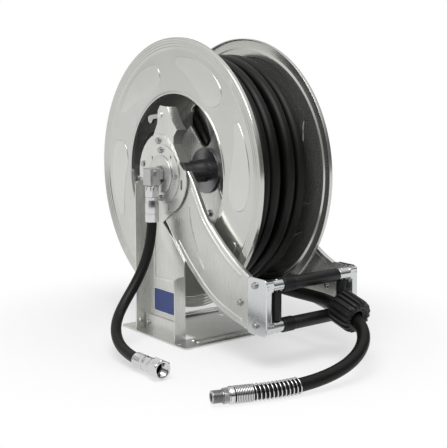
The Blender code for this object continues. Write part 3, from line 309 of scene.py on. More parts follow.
def through(points, steps):
    """A Catmull-Rom curve through all points of an open line."""
    p = np.asarray(points, float)
    p = np.vstack([2 * p[0] - p[1], p, 2 * p[-1] - p[-2]])
    return np.vstack([between(p, steps), p[-2]])


def reach_along(line):
    """Distance along a line from its start, at each of its points."""
    return np.concatenate([[0], np.cumsum(np.linalg.norm(np.diff(line, axis=0), axis=1))])


def evenly(curve, spacing):
    """The same curve with equal steps."""
    reach = reach_along(curve)
    goal = np.linspace(0, reach[-1], max(2, int(round(reach[-1] / spacing))) + 1)
    return np.stack([np.interp(goal, reach, curve[:, k]) for k in range(curve.shape[1])], -1)


def spline(points, spacing):
    """A smooth curve through points, with about equal steps."""
    return evenly(through(points, 12), spacing)


def settled(points, rounds):
    """A hose's route: a curve through its points, made even by rounds of averaging.

    In each round p becomes (before + 2 p + after) / 4, but for the two points at either end. The
    route is given to a tenth of a millimetre.
    """
    path = evenly(through(points, 8), 0.008)
    for _ in range(rounds):
        path[2:-2] = (path[1:-3] + 2 * path[2:-2] + path[3:-1]) / 4
    return np.round(evenly(path, 0.022), 4)


def carried(path, reference):
    """Tangents of a path and two directions square to them, from one reference direction."""
    tangent = unit(np.gradient(path, axis=0))
    side = unit(np.cross(tangent, reference))
    return tangent, side, np.cross(side, tangent)


def tube(path, radius, sides=24, reference=(0.0, 0.0, 1.0), rounding=0.0012):
    """A tube: circles square to a path, the first and last drawn in by a small quarter round."""
    tangent, side, over = carried(path, np.asarray(reference, float))
    angle = round_angles(sides)
    ring = (np.cos(angle)[None, :, None] * side[:, None]
            + np.sin(angle)[None, :, None] * over[:, None])
    grid = path[:, None] + radius * ring
    turn = np.linspace(0, math.pi / 2, 4)[:-1]
    start = [path[0] - tangent[0] * rounding * (1 - math.sin(a))
             + (radius - rounding * (1 - math.cos(math.pi / 2 - a))) * ring[0] for a in turn]
    end = [path[-1] + tangent[-1] * rounding * (1 - math.sin(a))
           + (radius - rounding * (1 - math.cos(math.pi / 2 - a))) * ring[-1] for a in turn[::-1]]
    rows = np.concatenate([np.array(start), grid, np.array(end)])
    along = reach_along(rows[:, 0])
    uv = np.stack([np.repeat(along[:, None], sides, 1),
                   np.repeat((angle * radius)[None], len(rows), 0)], -1).reshape(-1, 2)
    points, faces = closed_grid(rows)
    uv = np.vstack([uv, [[along[0], 0], [along[-1], 0]]])
    points, faces = outward(points, faces)
    return points, faces, uv


def rounded_line(points, radius, steps=4):
    """A flat polyline with each inner corner replaced by a short arc of about that radius."""
    p = [np.asarray(q, float) for q in points]
    made = [p[0]]
    for a, b, c in zip(p, p[1:], p[2:]):
        cut = min(radius, 0.45 * np.linalg.norm(a - b), 0.45 * np.linalg.norm(c - b))
        u = b + unit(a - b) * cut
        w = b + unit(c - b) * cut
        for k in range(steps + 1):
            t = k / steps
            made.append((1 - t) ** 2 * u + 2 * t * (1 - t) * b + t * t * w)
    made.append(p[-1])
    return np.array(made)


def about_axis(profile, count, x_sign=1.0):
    """A section in (radius, X), drawn in millimetres, turned about the drum axis."""
    angle = round_angles(count)
    section = np.asarray(profile, float) * MM
    x = np.repeat((section[:, 1] * x_sign)[:, None], count, 1)
    y = section[:, :1] * np.cos(angle)[None]
    z = section[:, :1] * np.sin(angle)[None] + AXIS[2]
    return np.stack([x, y, z], -1)


# ---------------------------------------------------------------- finishes
def node_of(tree, kind, **values):
    """A shader node with its inputs, or else its settings, set by name."""
    node = tree.nodes.new(kind)
    for key, value in values.items():
        if key in node.inputs:
            node.inputs[key].default_value = value
        else:
            setattr(node, key, value)
    return node


def mixed(tree, kind, a, b, share):
    """A Mix node of colours or numbers; a, b and share are sockets or plain values."""
    node = tree.nodes.new("ShaderNodeMix")
    node.data_type = kind
    start = {"RGBA": 6, "FLOAT": 2}[kind]
    for k, value in ((0, share), (start, a), (start + 1, b)):
        if isinstance(value, bpy.types.NodeSocket):
            tree.links.new(value, node.inputs[k])
        else:
            node.inputs[k].default_value = value
    return node.outputs[{"RGBA": 2, "FLOAT": 0}[kind]]


def noise(tree, place, scale, detail=4.0, roughness=0.55):
    """Noise from 0 to 1 over a place."""
    node = node_of(tree, "ShaderNodeTexNoise", Scale=scale, Detail=detail, Roughness=roughness)
    tree.links.new(place, node.inputs["Vector"])
    return node.outputs["Fac"]


def stretched(tree, place, scale):
    """A place scaled along X, Y and Z."""
    node = node_of(tree, "ShaderNodeMapping")
    node.inputs["Scale"].default_value = scale
    tree.links.new(place, node.inputs["Vector"])
    return node.outputs["Vector"]


def ramp(tree, value, low, high, to_low=0.0, to_high=1.0, kind="LINEAR"):
    """A value carried from one range to another."""
    node = node_of(tree, "ShaderNodeMapRange", interpolation_type=kind)
    tree.links.new(value, node.inputs["Value"])
    for key, number in (("From Min", low), ("From Max", high), ("To Min", to_low),
                        ("To Max", to_high)):
        node.inputs[key].default_value = number
    return node.outputs["Result"]


def begin(name):
    """A new material with its tree, its shader and the object's own coordinates."""
    material = bpy.data.materials.new(name)
    material.use_nodes = True
    tree = material.node_tree
    shader = tree.nodes["Principled BSDF"]
    place = tree.nodes.new("ShaderNodeTexCoord").outputs["Object"]
    return material, tree, shader, place


def bumped(tree, shader, height, strength, distance):
    """Gives a shader a fine relief."""
    node = node_of(tree, "ShaderNodeBump", Strength=strength, Distance=distance)
    tree.links.new(height, node.inputs["Height"])
    tree.links.new(node.outputs["Normal"], shader.inputs["Normal"])


def shade(colour, factor):
    """A colour made lighter or darker, with its alpha."""
    return tuple(min(1.0, c * factor) for c in colour) + (1.0,)


def metal(name, colour, roughness, grain=(1.0, 1.0, 1.0), grain_scale=900.0, spread=0.05,
          edge_sheen=0.25, bump=0.02, metallic=0.86, depth=1.0):
    """Bare metal: cloudy colour, roughness from a grain, painted highlight and wear on sharp edges,
    and a fine bump.
    """
    material, tree, shader, place = begin(name)
    shader.inputs["Metallic"].default_value = metallic
    clouds = noise(tree, place, 9.0, 3.0)
    fine = noise(tree, stretched(tree, place, grain), grain_scale, 2.0)
    base = mixed(tree, "RGBA", shade(colour, 1 - spread), shade(colour, 1 + spread),
                 ramp(tree, clouds, 0.35, 0.65))
    # Sharp edges are painted lighter, towards near white: a painted highlight along the edges,
    # partly also wear.
    edge = tree.nodes.new("ShaderNodeNewGeometry").outputs["Pointiness"]
    edge_highlight = ramp(tree, edge, 0.515, 0.56, 0.0, edge_sheen)
    base = mixed(tree, "RGBA", base, (0.92, 0.92, 0.90, 1.0), edge_highlight)
    tree.links.new(base, shader.inputs["Base Color"])
    rough = mixed(tree, "FLOAT", roughness - 0.05 * depth, roughness + 0.06 * depth,
                  ramp(tree, fine, 0.3, 0.7))
    rough = mixed(tree, "FLOAT", rough, roughness + 0.12 * depth,
                  ramp(tree, clouds, 0.6, 0.8, 0.0, 0.5))
    tree.links.new(rough, shader.inputs["Roughness"])
    bumped(tree, shader, fine, bump, 0.0004)
    return material


def hose_cover(name, colour):
    """Wrapped rubber cover: fine cloth imprint along the hose's own map, dust and scuffs."""
    material, tree, shader, place = begin(name)
    own = node_of(tree, "ShaderNodeUVMap")
    own.uv_map = "along"
    weave = tree.nodes.new("ShaderNodeTexWave")
    weave.wave_type = "BANDS"
    weave.bands_direction = "DIAGONAL"
    weave.inputs["Scale"].default_value = 420.0
    weave.inputs["Distortion"].default_value = 1.5
    tree.links.new(own.outputs["UV"], weave.inputs["Vector"])
    clouds = noise(tree, place, 14.0, 5.0)
    grit = noise(tree, place, 700.0, 3.0)
    base = mixed(tree, "RGBA", shade(colour, 0.75), shade(colour, 1.5),
                 ramp(tree, clouds, 0.3, 0.75))
    base = mixed(tree, "RGBA", base, shade(colour, 3.0), ramp(tree, grit, 0.62, 0.8, 0.0, 0.35))
    tree.links.new(base, shader.inputs["Base Color"])
    tree.links.new(ramp(tree, clouds, 0.3, 0.7, 0.34, 0.46), shader.inputs["Roughness"])
    shader.inputs["Specular IOR Level"].default_value = 0.22
    height = mixed(tree, "FLOAT", weave.outputs["Fac"], grit, 0.45)
    bumped(tree, shader, height, 0.25, 0.0003)
    return material


def moulded(name, colour, roughness=0.42):
    """Moulded black plastic: faint mottling, a fine grain and a painted highlight on sharp edges."""
    material, tree, shader, place = begin(name)
    clouds = noise(tree, place, 30.0, 4.0)
    fine = noise(tree, place, 1400.0, 2.0)
    base = mixed(tree, "RGBA", shade(colour, 0.8), shade(colour, 1.45),
                 ramp(tree, clouds, 0.3, 0.7))
    edge = tree.nodes.new("ShaderNodeNewGeometry").outputs["Pointiness"]
    # Sharp edges are painted lighter, up to four times the colour: a painted highlight.
    base = mixed(tree, "RGBA", base, shade(colour, 4.0), ramp(tree, edge, 0.52, 0.60, 0.0, 0.5))
    tree.links.new(base, shader.inputs["Base Color"])
    tree.links.new(ramp(tree, clouds, 0.3, 0.7, roughness - 0.07, roughness + 0.07),
                   shader.inputs["Roughness"])
    shader.inputs["Specular IOR Level"].default_value = 0.35
    bumped(tree, shader, fine, 0.15, 0.0002)
    return material


FINISHES = {}


def finish(kind):
    """One shared material for each finish, made when it is first asked for."""
    if kind not in FINISHES:
        c = colours()
        makers = {
            "sheet": lambda: metal("satin_stainless", tuple(c.steel), 0.30, (1, 1, 0.03), 700.0,
                                   bump=0.015),
            "disc": lambda: metal("satin_disc", tuple(0.95 * x for x in c.steel), 0.20, (1, 1, 1),
                                  40.0, 0.03, bump=0.0008, depth=0.35),
            # Parts inside the drum: the sheet's colour darkened to 0.62 of itself, a painted shade.
            "inside": lambda: metal("shaded_stainless", tuple(0.62 * x for x in c.steel), 0.36),
            "cast": lambda: metal("cast_alloy", tuple(c.casting), 0.19, (1, 1, 1), 420.0,
                                  0.03, 0.25, 0.004, 0.95, 0.7),
            "plated": lambda: metal("plated_steel", tuple(c.plating), 0.12, (1, 1, 1), 500.0,
                                    0.05, 0.08, 0.01, 1.0, 0.6),
            "nickel": lambda: metal("nickel_plating", tuple(0.62 * x for x in c.plating), 0.16,
                                    (1, 1, 1), 500.0, 0.06, 0.12, 0.01, 1.0, 0.6),
            "machined": lambda: metal("machined_steel", tuple(c.machined), 0.26, (0.05, 1, 1),
                                      900.0, 0.08, 0.3),
            "rubber": lambda: hose_cover("hose_cover", tuple(c.rubber)),
            "nylon": lambda: moulded("black_nylon", tuple(c.nylon)),
        }
        FINISHES[kind] = makers[kind]()
    return FINISHES[kind]


def softened(node_name, name, kind, body="frame", width=None, segments=2):
    """A copy of a CAD node with its points merged and its edges rounded."""
    work = bmesh.new()
    work.from_mesh(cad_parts[node_name].data)
    bmesh.ops.remove_doubles(work, verts=work.verts, dist=1e-5)
    bmesh.ops.dissolve_limit(work, angle_limit=math.radians(0.5), verts=work.verts,
                             edges=work.edges)
    bmesh.ops.recalc_face_normals(work, faces=work.faces)
    mesh = bpy.data.meshes.new(name)
    work.to_mesh(mesh)
    work.free()
    obj = placed(name, mesh, finish(kind), body, (node_name,), 180)
    eased(obj, width, 30, True, segments)
    return obj


# ---------------------------------------------------------------- setting
# Brightness of the walls that the metal mirrors, by compass angle in degrees.
WALLS = [(-180, 0.62), (-165, 0.30), (-127, 0.10), (-60, 0.06), (0, 0.08), (50, 0.25), (67, 0.95),
         (84, 0.95), (97, 0.35), (112, 0.55), (122, 0.82), (134, 0.82), (148, 1.0), (164, 1.0),
         (172, 0.45), (180, 0.62)]
ROOM_LIGHT = 0.62
FLOOR_REACH = 14.0
FLOOR_DROP = 0.0004
# The floor's own light, by distance from the floor's middle: a share of it up to the first
# distance, growing to all of it at the second.
GLOW_FROM, GLOW_FULL, GLOW_SHARE = 0.24, 0.62, 0.50
LAMP_PLACE = (-0.9, -0.9, 2.1)
LAMP_AIM = (0.0, -0.05, 0.2)
LAMP_SIZE = 1.6
LAMP_POWER = 34.0
# The camera, fitted to the photo: lens and sensor in millimetres, turn and roll in degrees.
LENS = 79.07
SENSOR = 36.0
SHIFT = (0.0317, -0.1202)
EYE_PLACE = (-1.19534, -1.57579, 0.52723)
EYE_BACK = (-0.60113, -0.79246, 0.10321)
EYE_TURN = -37.18
EYE_ROLL = -0.14


def make_floor():
    """Pale floor that fades into its own white light away from the reel."""
    mesh = bpy.data.meshes.new("floor")
    mesh.from_pydata([(-FLOOR_REACH, -FLOOR_REACH, 0), (FLOOR_REACH, -FLOOR_REACH, 0),
                      (FLOOR_REACH, FLOOR_REACH, 0), (-FLOOR_REACH, FLOOR_REACH, 0)], [],
                     [(0, 1, 2, 3)])
    floor = bpy.data.objects.new("floor", mesh)
    floor.location.z = -FLOOR_DROP
    bpy.context.scene.collection.objects.link(floor)
    material = bpy.data.materials.new("pale_floor")
    material.use_nodes = True
    tree = material.node_tree
    tree.nodes.clear()
    out = tree.nodes.new("ShaderNodeOutputMaterial")
    lit = node_of(tree, "ShaderNodeBsdfDiffuse", Color=tuple(colours().floor) + (1.0,))
    glow = node_of(tree, "ShaderNodeEmission", Strength=1.0)
    path = tree.nodes.new("ShaderNodeLightPath")
    seen = node_of(tree, "ShaderNodeMath", operation="MAXIMUM")
    tree.links.new(path.outputs["Is Camera Ray"], seen.inputs[0])
    tree.links.new(path.outputs["Is Glossy Ray"], seen.inputs[1])
    away = node_of(tree, "ShaderNodeVectorMath", operation="LENGTH")
    tree.links.new(tree.nodes.new("ShaderNodeTexCoord").outputs["Object"], away.inputs[0])
    fade = ramp(tree, away.outputs["Value"], GLOW_FROM, GLOW_FULL, GLOW_SHARE, 1.0, "SMOOTHSTEP")
    share = node_of(tree, "ShaderNodeMath", operation="MULTIPLY")
    tree.links.new(seen.outputs[0], share.inputs[0])
    tree.links.new(fade, share.inputs[1])
    both = shader_mix(tree, share.outputs[0], lit, glow)
    tree.links.new(both.outputs[0], out.inputs["Surface"])
    floor.data.materials.append(material)
    return floor


def shader_mix(tree, share, first, second):
    """A Mix node of two shaders."""
    both = tree.nodes.new("ShaderNodeMixShader")
    tree.links.new(share, both.inputs[0])
    tree.links.new(first.outputs[0], both.inputs[1])
    tree.links.new(second.outputs[0], both.inputs[2])
    return both


def make_room():
    """White surroundings: even light, and banded walls that only the metal mirrors."""
    world = bpy.data.worlds.new("white_room")
    bpy.context.scene.world = world
    world.use_nodes = True
    tree = world.node_tree
    tree.nodes.clear()
    out = tree.nodes.new("ShaderNodeOutputWorld")
    soft = node_of(tree, "ShaderNodeBackground", Strength=ROOM_LIGHT)
    white = node_of(tree, "ShaderNodeBackground", Strength=1.0)
    white.inputs["Color"].default_value = (1.0, 1.0, 1.0, 1.0)
    mirrored = node_of(tree, "ShaderNodeBackground", Strength=1.0)
    place = tree.nodes.new("ShaderNodeTexCoord").outputs["Generated"]
    part = tree.nodes.new("ShaderNodeSeparateXYZ")
    tree.links.new(place, part.inputs[0])
    compass = node_of(tree, "ShaderNodeMath", operation="ARCTAN2")
    tree.links.new(part.outputs["Y"], compass.inputs[0])
    tree.links.new(part.outputs["X"], compass.inputs[1])
    walls = tree.nodes.new("ShaderNodeValToRGB")
    tree.links.new(ramp(tree, compass.outputs[0], -math.pi, math.pi), walls.inputs["Fac"])
    stops = walls.color_ramp.elements
    for degrees, level in WALLS:
        at = (degrees + 180.0) / 360.0
        stop = stops[0] if at == 0.0 else stops[-1] if at == 1.0 else stops.new(at)
        stop.color = (level, level, 0.98 * level, 1.0)
    sky = mixed(tree, "RGBA", walls.outputs["Color"], (0.93, 0.93, 0.93, 1.0),
                ramp(tree, part.outputs["Z"], 0.30, 0.75))
    tree.links.new(sky, mirrored.inputs["Color"])
    path = tree.nodes.new("ShaderNodeLightPath")
    first = shader_mix(tree, path.outputs["Is Glossy Ray"], soft, mirrored)
    second = shader_mix(tree, path.outputs["Is Camera Ray"], first, white)
    tree.links.new(second.outputs[0], out.inputs["Surface"])


def make_lamp():
    """Soft round light over the front left."""
    lamp = bpy.data.lights.new("window_light", "AREA")
    lamp.shape = "DISK"
    lamp.size = LAMP_SIZE
    lamp.energy = LAMP_POWER
    window = bpy.data.objects.new("window_light", lamp)
    window.location = LAMP_PLACE
    window.rotation_euler = (Vector(LAMP_AIM) - window.location).to_track_quat(
        "-Z", "Y").to_euler()
    bpy.context.scene.collection.objects.link(window)


def make_camera():
    """Camera of the photo, from its place and its own right, up and backward directions."""
    camera = bpy.data.cameras.new("camera")
    camera.lens = LENS
    camera.sensor_width = SENSOR
    camera.shift_x, camera.shift_y = SHIFT
    eye = bpy.data.objects.new("camera", camera)
    back = Vector(EYE_BACK).normalized()
    turn = math.radians(EYE_TURN)
    right = Vector((math.cos(turn), math.sin(turn), 0)).normalized()
    up = back.cross(right)
    roll = math.radians(EYE_ROLL)
    right, up = (right * math.cos(roll) + up * math.sin(roll),
                 up * math.cos(roll) - right * math.sin(roll))
    rows = [(right[k], up[k], back[k], EYE_PLACE[k]) for k in range(3)]
    eye.matrix_world = Matrix(rows + [(0, 0, 0, 1)])
    bpy.context.scene.collection.objects.link(eye)
    bpy.context.scene.camera = eye


def make_stage():
    """Floor, white surroundings, a soft light and the camera of the photo."""
    floor = make_floor()
    make_room()
    make_lamp()
    make_camera()
    bpy.context.scene.view_settings.view_transform = "Standard"


# ---------------------------------------------------------------- hoses
def make_delivery_hose():
    """Outlet hose with its bend spring, ferrule and threaded end.

    The tube is p(s) + R (cos a u + sin a v) along a smooth curve through the hose's route; the
    spring's middle line is p(s) + H (cos w u + sin w v) with w growing by one turn for each
    pitch, and its wire is again circles square to that line.
    """
    s = sizes()
    along = unit(STOPPER_FRONT - STOPPER_REAR)
    turn = unit(OUTLET_AIM)
    route = np.vstack([OUTLET_LEAD, STOPPER_REAR, STOPPER_REAR + along * STOPPER_LENGTH,
                       OUTLET_BEND, OUTLET_BEND[-1] + OUTLET_AIM * OUTLET_LAST])
    path = spline(settled(route, 40), 0.004)
    points, faces, uv = tube(path, s.hose / 2, 32)
    hose = piece("delivery_hose", points, faces, finish("rubber"), "frame",
                 ("hose_lead", "hose_tail"), uv)
    reach = reach_along(path)
    steps = 28
    coil_radius, wire_radius = 0.0135, 0.0011
    pitch_close, pitch_open = 0.00275, 0.007
    coil_from, coil_opens, coil_to = 0.0016, 0.0316, 0.1156
    close = np.arange(coil_from, coil_opens, pitch_close / steps)
    loose = np.arange(close[-1], coil_to, pitch_open / steps)[1:]
    station = reach[-1] - np.concatenate([close, loose])
    centre = np.stack([np.interp(station, reach, path[:, k]) for k in range(3)], -1)
    tangent = unit(np.gradient(centre, axis=0)) * -1
    side = unit(np.cross(tangent, UP))
    over = np.cross(side, tangent)
    angle = 2 * math.pi * np.arange(len(station)) / steps
    helix = centre + coil_radius * (np.cos(angle)[:, None] * side
                                    + np.sin(angle)[:, None] * over)
    wire, wire_faces, _ = tube(helix, wire_radius, 10, tangent, 0.0004)
    spring = piece("bend_spring", wire, wire_faces, finish("plated"), "frame",
                   ("spring_guard",))
    end = path[-1] + turn * GAP
    rings = [(0, 11.6), (0, 14.2), (0.3, 14.5), (1.4, 14.5), (1.8, 14.1), (2.2, 14.5), (6.6, 14.5),
             (7.1, 14.2), (7.6, 12.7), (8.6, 12.3), (9, 11.8), (9, 6.5), (0.6, 6.5)]
    ferrule = turned_piece("hose_ferrule", end, turn, rings, finish("plated"), "frame",
                           ("outlet_ferrule",), hollow=True)
    start = end + turn * 0.0093
    flat = 13.6 * HEX
    rings = [(0, 6.5), (0, 12.2), (0.25, 12.6, flat), (1.1, 13.6, flat), (6.9, 13.6, flat),
             (7.75, 12.6, flat), (8, 12.0), (8, 10.0), (9.2, 9.6), (10, 10.5)]
    rings += [(10 + k * 0.75, 10.5 if k % 2 == 0 else 9.75) for k in range(1, 21)]
    rings += [(26, 10.1), (27, 9.2), (27, 7.2), (26.4, 6.5)]
    thread = turned_piece("threaded_end", start, turn, rings, finish("machined"), "frame",
                          ("outlet_nipple",), count=96, hollow=True)


def make_supply_hose():
    """Supply hose from the swivel elbow, with the crimped sleeve and the union nut of its end."""
    s = sizes()
    path = spline(settled(SUPPLY_POINTS, 30), 0.004)
    points, faces, uv = tube(path, s.supply / 2, 32, (0.0, 1.0, 0.0))
    hose = piece("supply_hose", points, faces, finish("rubber"), "frame",
                 ("inlet_hose",), uv)
    front = np.array([0.0, -1.0, 0.0])
    start = np.array([-0.279, -0.158, 0.0188])
    rings = [(0, 11.4), (0, 12.7), (0.5, 13.2)]
    for k in range(5):
        at = 3 + 4.2 * k
        rings += [(at, 13.2), (at + 0.6, 12.5), (at + 2.2, 12.4), (at + 2.8, 13.2)]
    rings += [(26, 13.2), (27, 12.4), (29, 12.4), (30, 13.2), (42.5, 13.2), (44, 12.2), (46, 11.7),
              (48, 12.2), (49.5, 13.2), (54, 13.2), (54.7, 12.6), (54.7, 10.5), (6, 10.5)]
    sleeve = turned_piece("crimped_sleeve", start, front, rings, finish("plated"), "frame",
                          ("inlet_tail",), hollow=True)
    start = start + front * 0.055
    flat = 18.475 * HEX
    rings = [(0, 7), (0, 15.0), (0.3, 15.8), (1.6, 18.475, flat), (21.2, 18.475, flat),
             (22.7, 15.9, flat), (23, 15.2), (23, 13.2), (22.0, 12.0), (21.4, 12.9)]
    rings += [(21 - k * 0.8, 12.0 if k % 2 == 0 else 12.8) for k in range(21)]
    rings += [(4, 12), (4, 7)]
    nut = turned_piece("union_nut", start, front, rings, finish("plated"), "inlet_nut",
                       ("inlet_nut",), count=96, hollow=True)


def make_inner_hose():
    """Hose inside the drum from the hub to an elbow on the core, with that elbow."""
    route = [(HUB_HOSE_X, y, AXIS[2] + z) for y, z in HUB_POINTS]
    path = spline(np.round(evenly(through(route, 8), 0.014), 4), 0.003)
    points, faces, uv = tube(path, sizes().inner / 2, 28, (1.0, 0.0, 0.0))
    piece("hub_hose", points, faces, finish("rubber"), "drum", ("inner_hose",), uv)
    low = (HUB_HOSE_X, HUB_POINTS[0][0], AXIS[2] - 0.038)
    rings = [(0, 11.4), (0.8, 12.5), (22, 12.5), (22.8, 11.8), (24.6, 11.8), (25.4, 12.5),
             (30.2, 12.5), (31, 11.7)]
    turned_piece("core_elbow", low, (0, 0, 1), rings, finish("machined"), "drum",
                 ("inner_elbow",))
    rings = [(0, 8.4), (0.6, 9), (18.4, 9), (19, 8.4)]
    leg = (HUB_HOSE_X, HUB_POINTS[0][0], AXIS[2] - 0.026)
    turned_piece("core_elbow_leg", leg, (0, 1, 0), rings, finish("machined"), "drum",
                 ("inner_elbow",))


# ---------------------------------------------------------------- winding
# Outer turns of hose: how many turns are left, and X in millimetres there.
PASSES = [(0, 63), (0.75, 45.4), (1.75, 18), (2.75, -19), (3.75, -42.8), (4.75, -66.4)]
OUTER_TURNS = 4.55
OUTER_RADIUS = 0.221
# Layers under them: name, radius and half width.
LAYERS = [("middle_turns", 0.1955, 0.0662), ("inner_turns", 0.1722, 0.0660)]
TURN_GAP = 0.0002


def blurred(values, kernel):
    """Values averaged with their neighbours by a kernel; the end values go on outwards."""
    half = len(kernel) // 2
    padded = np.concatenate([np.full(half, values[0]), values, np.full(half, values[-1])])
    return np.convolve(padded, kernel / kernel.sum(), "valid")


def make_winding():
    """Turns of hose on the core.

    The outer turns lie on a circle of 221 mm round the axis while their X follows how the hose
    happens to lie; the turns under them lie side by side on smaller circles.
    """
    s = sizes()
    left = np.linspace(OUTER_TURNS, 0, int(96 * OUTER_TURNS) + 1)
    x = np.interp(left, [p[0] for p in PASSES], [p[1] * MM for p in PASSES])
    x = blurred(x, np.ones(25))
    angle = 2 * math.pi * left - math.pi / 2
    path = np.stack([x, OUTER_RADIUS * np.cos(angle), AXIS[2] + OUTER_RADIUS * np.sin(angle)], -1)
    first = path[0] + unit(path[0] - path[1]) * np.linspace(s.hose, 0, 5)[:-1, None]
    pitch = s.hose + TURN_GAP
    last = path[-1] + np.array([0.0, -1.0, 0.0]) * np.linspace(0, pitch, 5)[1:, None]
    path = np.vstack([first, path, last])
    points, faces, uv = tube(path, s.hose / 2, 28, (1.0, 0.0, 0.0), 0.0006)
    piece("outer_turns", points, faces, finish("rubber"), "drum",
          ("hose_winding",), uv)
    for name, radius, half in LAYERS:
        turns = 2 * half / pitch
        t = np.linspace(0, 1, int(96 * turns))
        angle = 2 * math.pi * turns * t
        path = np.stack([half * (1 - 2 * t), radius * np.cos(angle),
                         AXIS[2] + radius * np.sin(angle)], -1)
        points, faces, uv = tube(path, s.hose / 2, 20, (1.0, 0.0, 0.0))
        piece(name, points, faces, finish("rubber"), "drum", ("hose_core",), uv)


# ---------------------------------------------------------------- pressed sheet
def nearest(at, starts, ends):
    """Distance from each point to the nearest of some straight pieces, by whole arrays."""
    along = (ends - starts)[None]
    from_start = at[:, None] - starts[None]
    t = np.clip((from_start * along).sum(-1) / np.maximum((along ** 2).sum(-1), 1e-18), 0, 1)
    return np.linalg.norm(from_start - t[..., None] * along, axis=-1).min(1)


def line_distance(at, line):
    """Distance from points to a closed flat line, negative inside, by whole arrays."""
    following = np.roll(line, -1, axis=0)
    gap = nearest(at, line, following)
    ya, yb, yp = line[None, :, 1], following[None, :, 1], at[:, None, 1]
    crosses = (ya > yp) != (yb > yp)
    safe = np.where(np.abs(yb - ya) < 1e-15, 1e-15, yb - ya)
    where = line[None, :, 0] + (yp - ya) / safe * (following - line)[None, :, 0]
    inside = (crosses & (at[:, None, 0] < where)).sum(1) % 2 == 1
    return np.where(inside, -gap, gap)


def ring_of(radius, count):
    """Points of a flat circle."""
    angle = round_angles(count)
    return radius * np.stack([np.cos(angle), np.sin(angle)], -1)


def offset_line(line, distance):
    """The closed line moved outwards (to its right-hand side when it runs clockwise)."""
    tangent = unit(np.roll(line, -1, axis=0) - np.roll(line, 1, axis=0))
    normal = np.stack([tangent[:, 1], -tangent[:, 0]], -1)
    area = 0.5 * (line[:, 0] * np.roll(line[:, 1], -1) - np.roll(line[:, 0], -1) * line[:, 1]).sum()
    return line + normal * distance * (1 if area > 0 else -1)


def smooth_loop(points, spacing):
    """A closed curve through points."""
    p = np.asarray(points, float)
    p = np.vstack([p[-2:], p, p[:3]])
    steps = 10
    loop = between(p, steps)[steps:steps * (len(points) + 1) + 1]
    return evenly(loop, spacing)[:-1]


def filled(lines, keep):
    """Flat triangles between closed lines: vertices and those triangles whose middle is kept."""
    verts = [Vector(p) for line in lines for p in line.tolist()]
    edges = []
    first = 0
    for line in lines:
        count = len(line)
        edges += [(first + k, first + (k + 1) % count) for k in range(count)]
        first += count
    flat, _, faces = delaunay_2d_cdt(verts, edges, [], 0, 1e-7)[:3]
    flat = np.array([v[:] for v in flat])
    faces = np.array([f[:3] for f in faces], int)
    return flat, faces[keep(flat[faces].mean(1))]


def sheet_solid(flat, faces, front, thickness):
    """A closed sheet: triangles at X = front, the same ones a thickness further, and the edges."""
    count = len(flat)
    y, z = flat[:, 0], flat[:, 1] + AXIS[2]
    points = np.vstack([np.stack([front, y, z], -1), np.stack([front + thickness, y, z], -1)])
    pairs = np.vstack([faces[:, [0, 1]], faces[:, [1, 2]], faces[:, [2, 0]]])
    key = np.minimum(pairs[:, 0], pairs[:, 1]) * count + np.maximum(pairs[:, 0], pairs[:, 1])
    _, index, times = np.unique(key, return_index=True, return_counts=True)
    rim = pairs[index[times == 1]]
    walls = np.stack([rim[:, 1], rim[:, 0], rim[:, 0] + count, rim[:, 1] + count], -1)
    made = faces.tolist() + (faces[:, ::-1] + count).tolist() + walls.tolist()
    used = np.unique(faces)
    used = np.concatenate([used, used + count])
    place = np.full(2 * count, -1)
    place[used] = np.arange(len(used))
    made = [[int(place[k]) for k in f] for f in made]
    return points[used], made


def pressed(name, flat, faces, front, thickness, kind, body, replaced, width, angle=55):
    """A pressed sheet whose edges are rounded and whose flats stay flat."""
    points, made = outward(*sheet_solid(flat, faces, front, thickness))
    obj = piece(name, points, made, finish(kind), body, replaced, sharp=180)
    eased(obj, width, angle, False)
    return obj


def step_smooth(x):
    """Smooth step 3 x^2 - 2 x^3 of x between 0 and 1."""
    x = np.clip(x, 0, 1)
    return x * x * (3 - 2 * x)


def polar_mm(radius, degrees):
    """Flat place in metres of a radius in millimetres and an angle in degrees."""
    a = math.radians(degrees)
    return radius * MM * math.cos(a), radius * MM * math.sin(a)


# Outline of one leaf (radius, degrees) and the disc's section (radius, X) on both its sides.
LEAF = ([(227, 4), (230, 13), (231, 22), (230, 31), (225, 40)]
        + [(212, 44.5), (195, 45.3), (179, 42), (171, 35.5)]
        + [(173, 29), (184, 20), (198, 10.5), (211, 2.5), (222, 1)])
DISC_OUTSIDE = [(155.6, -10), (155.6, -2.2), (157.4, -0.9), (159.2, -1.6), (160.4, -3.3),
                (162, -3.5), (242, -3.5), (243.4, -3.3), (245.0, -1.5), (246.6, -1.1),
                (248.2, -2.1), (249.4, -2.1), (251.0, -0.7), (252.2, -0.7), (253.6, -1.7),
                (254.6, -1.7), (256.2, -0.3), (257.2, -0.3), (258.4, -1.0), (259.2, -1.0),
                (260.6, 0), (262.4, 0), (264.0, -0.8), (264.8, -2.2), (265, -4), (265, -9)]
DISC_INSIDE = [(263.2, -9), (263, -4.2), (261.2, -2.1), (252, -2.6), (247, -3.1), (243.6, -5.2),
               (242, -5.5), (162, -5.5), (159.6, -5.2), (157.6, -3.6), (157.6, -10)]
FLAT_LOW = 162
FLAT_HIGH = 242
PRESS = 0.0013
DISC_X = 0.0885


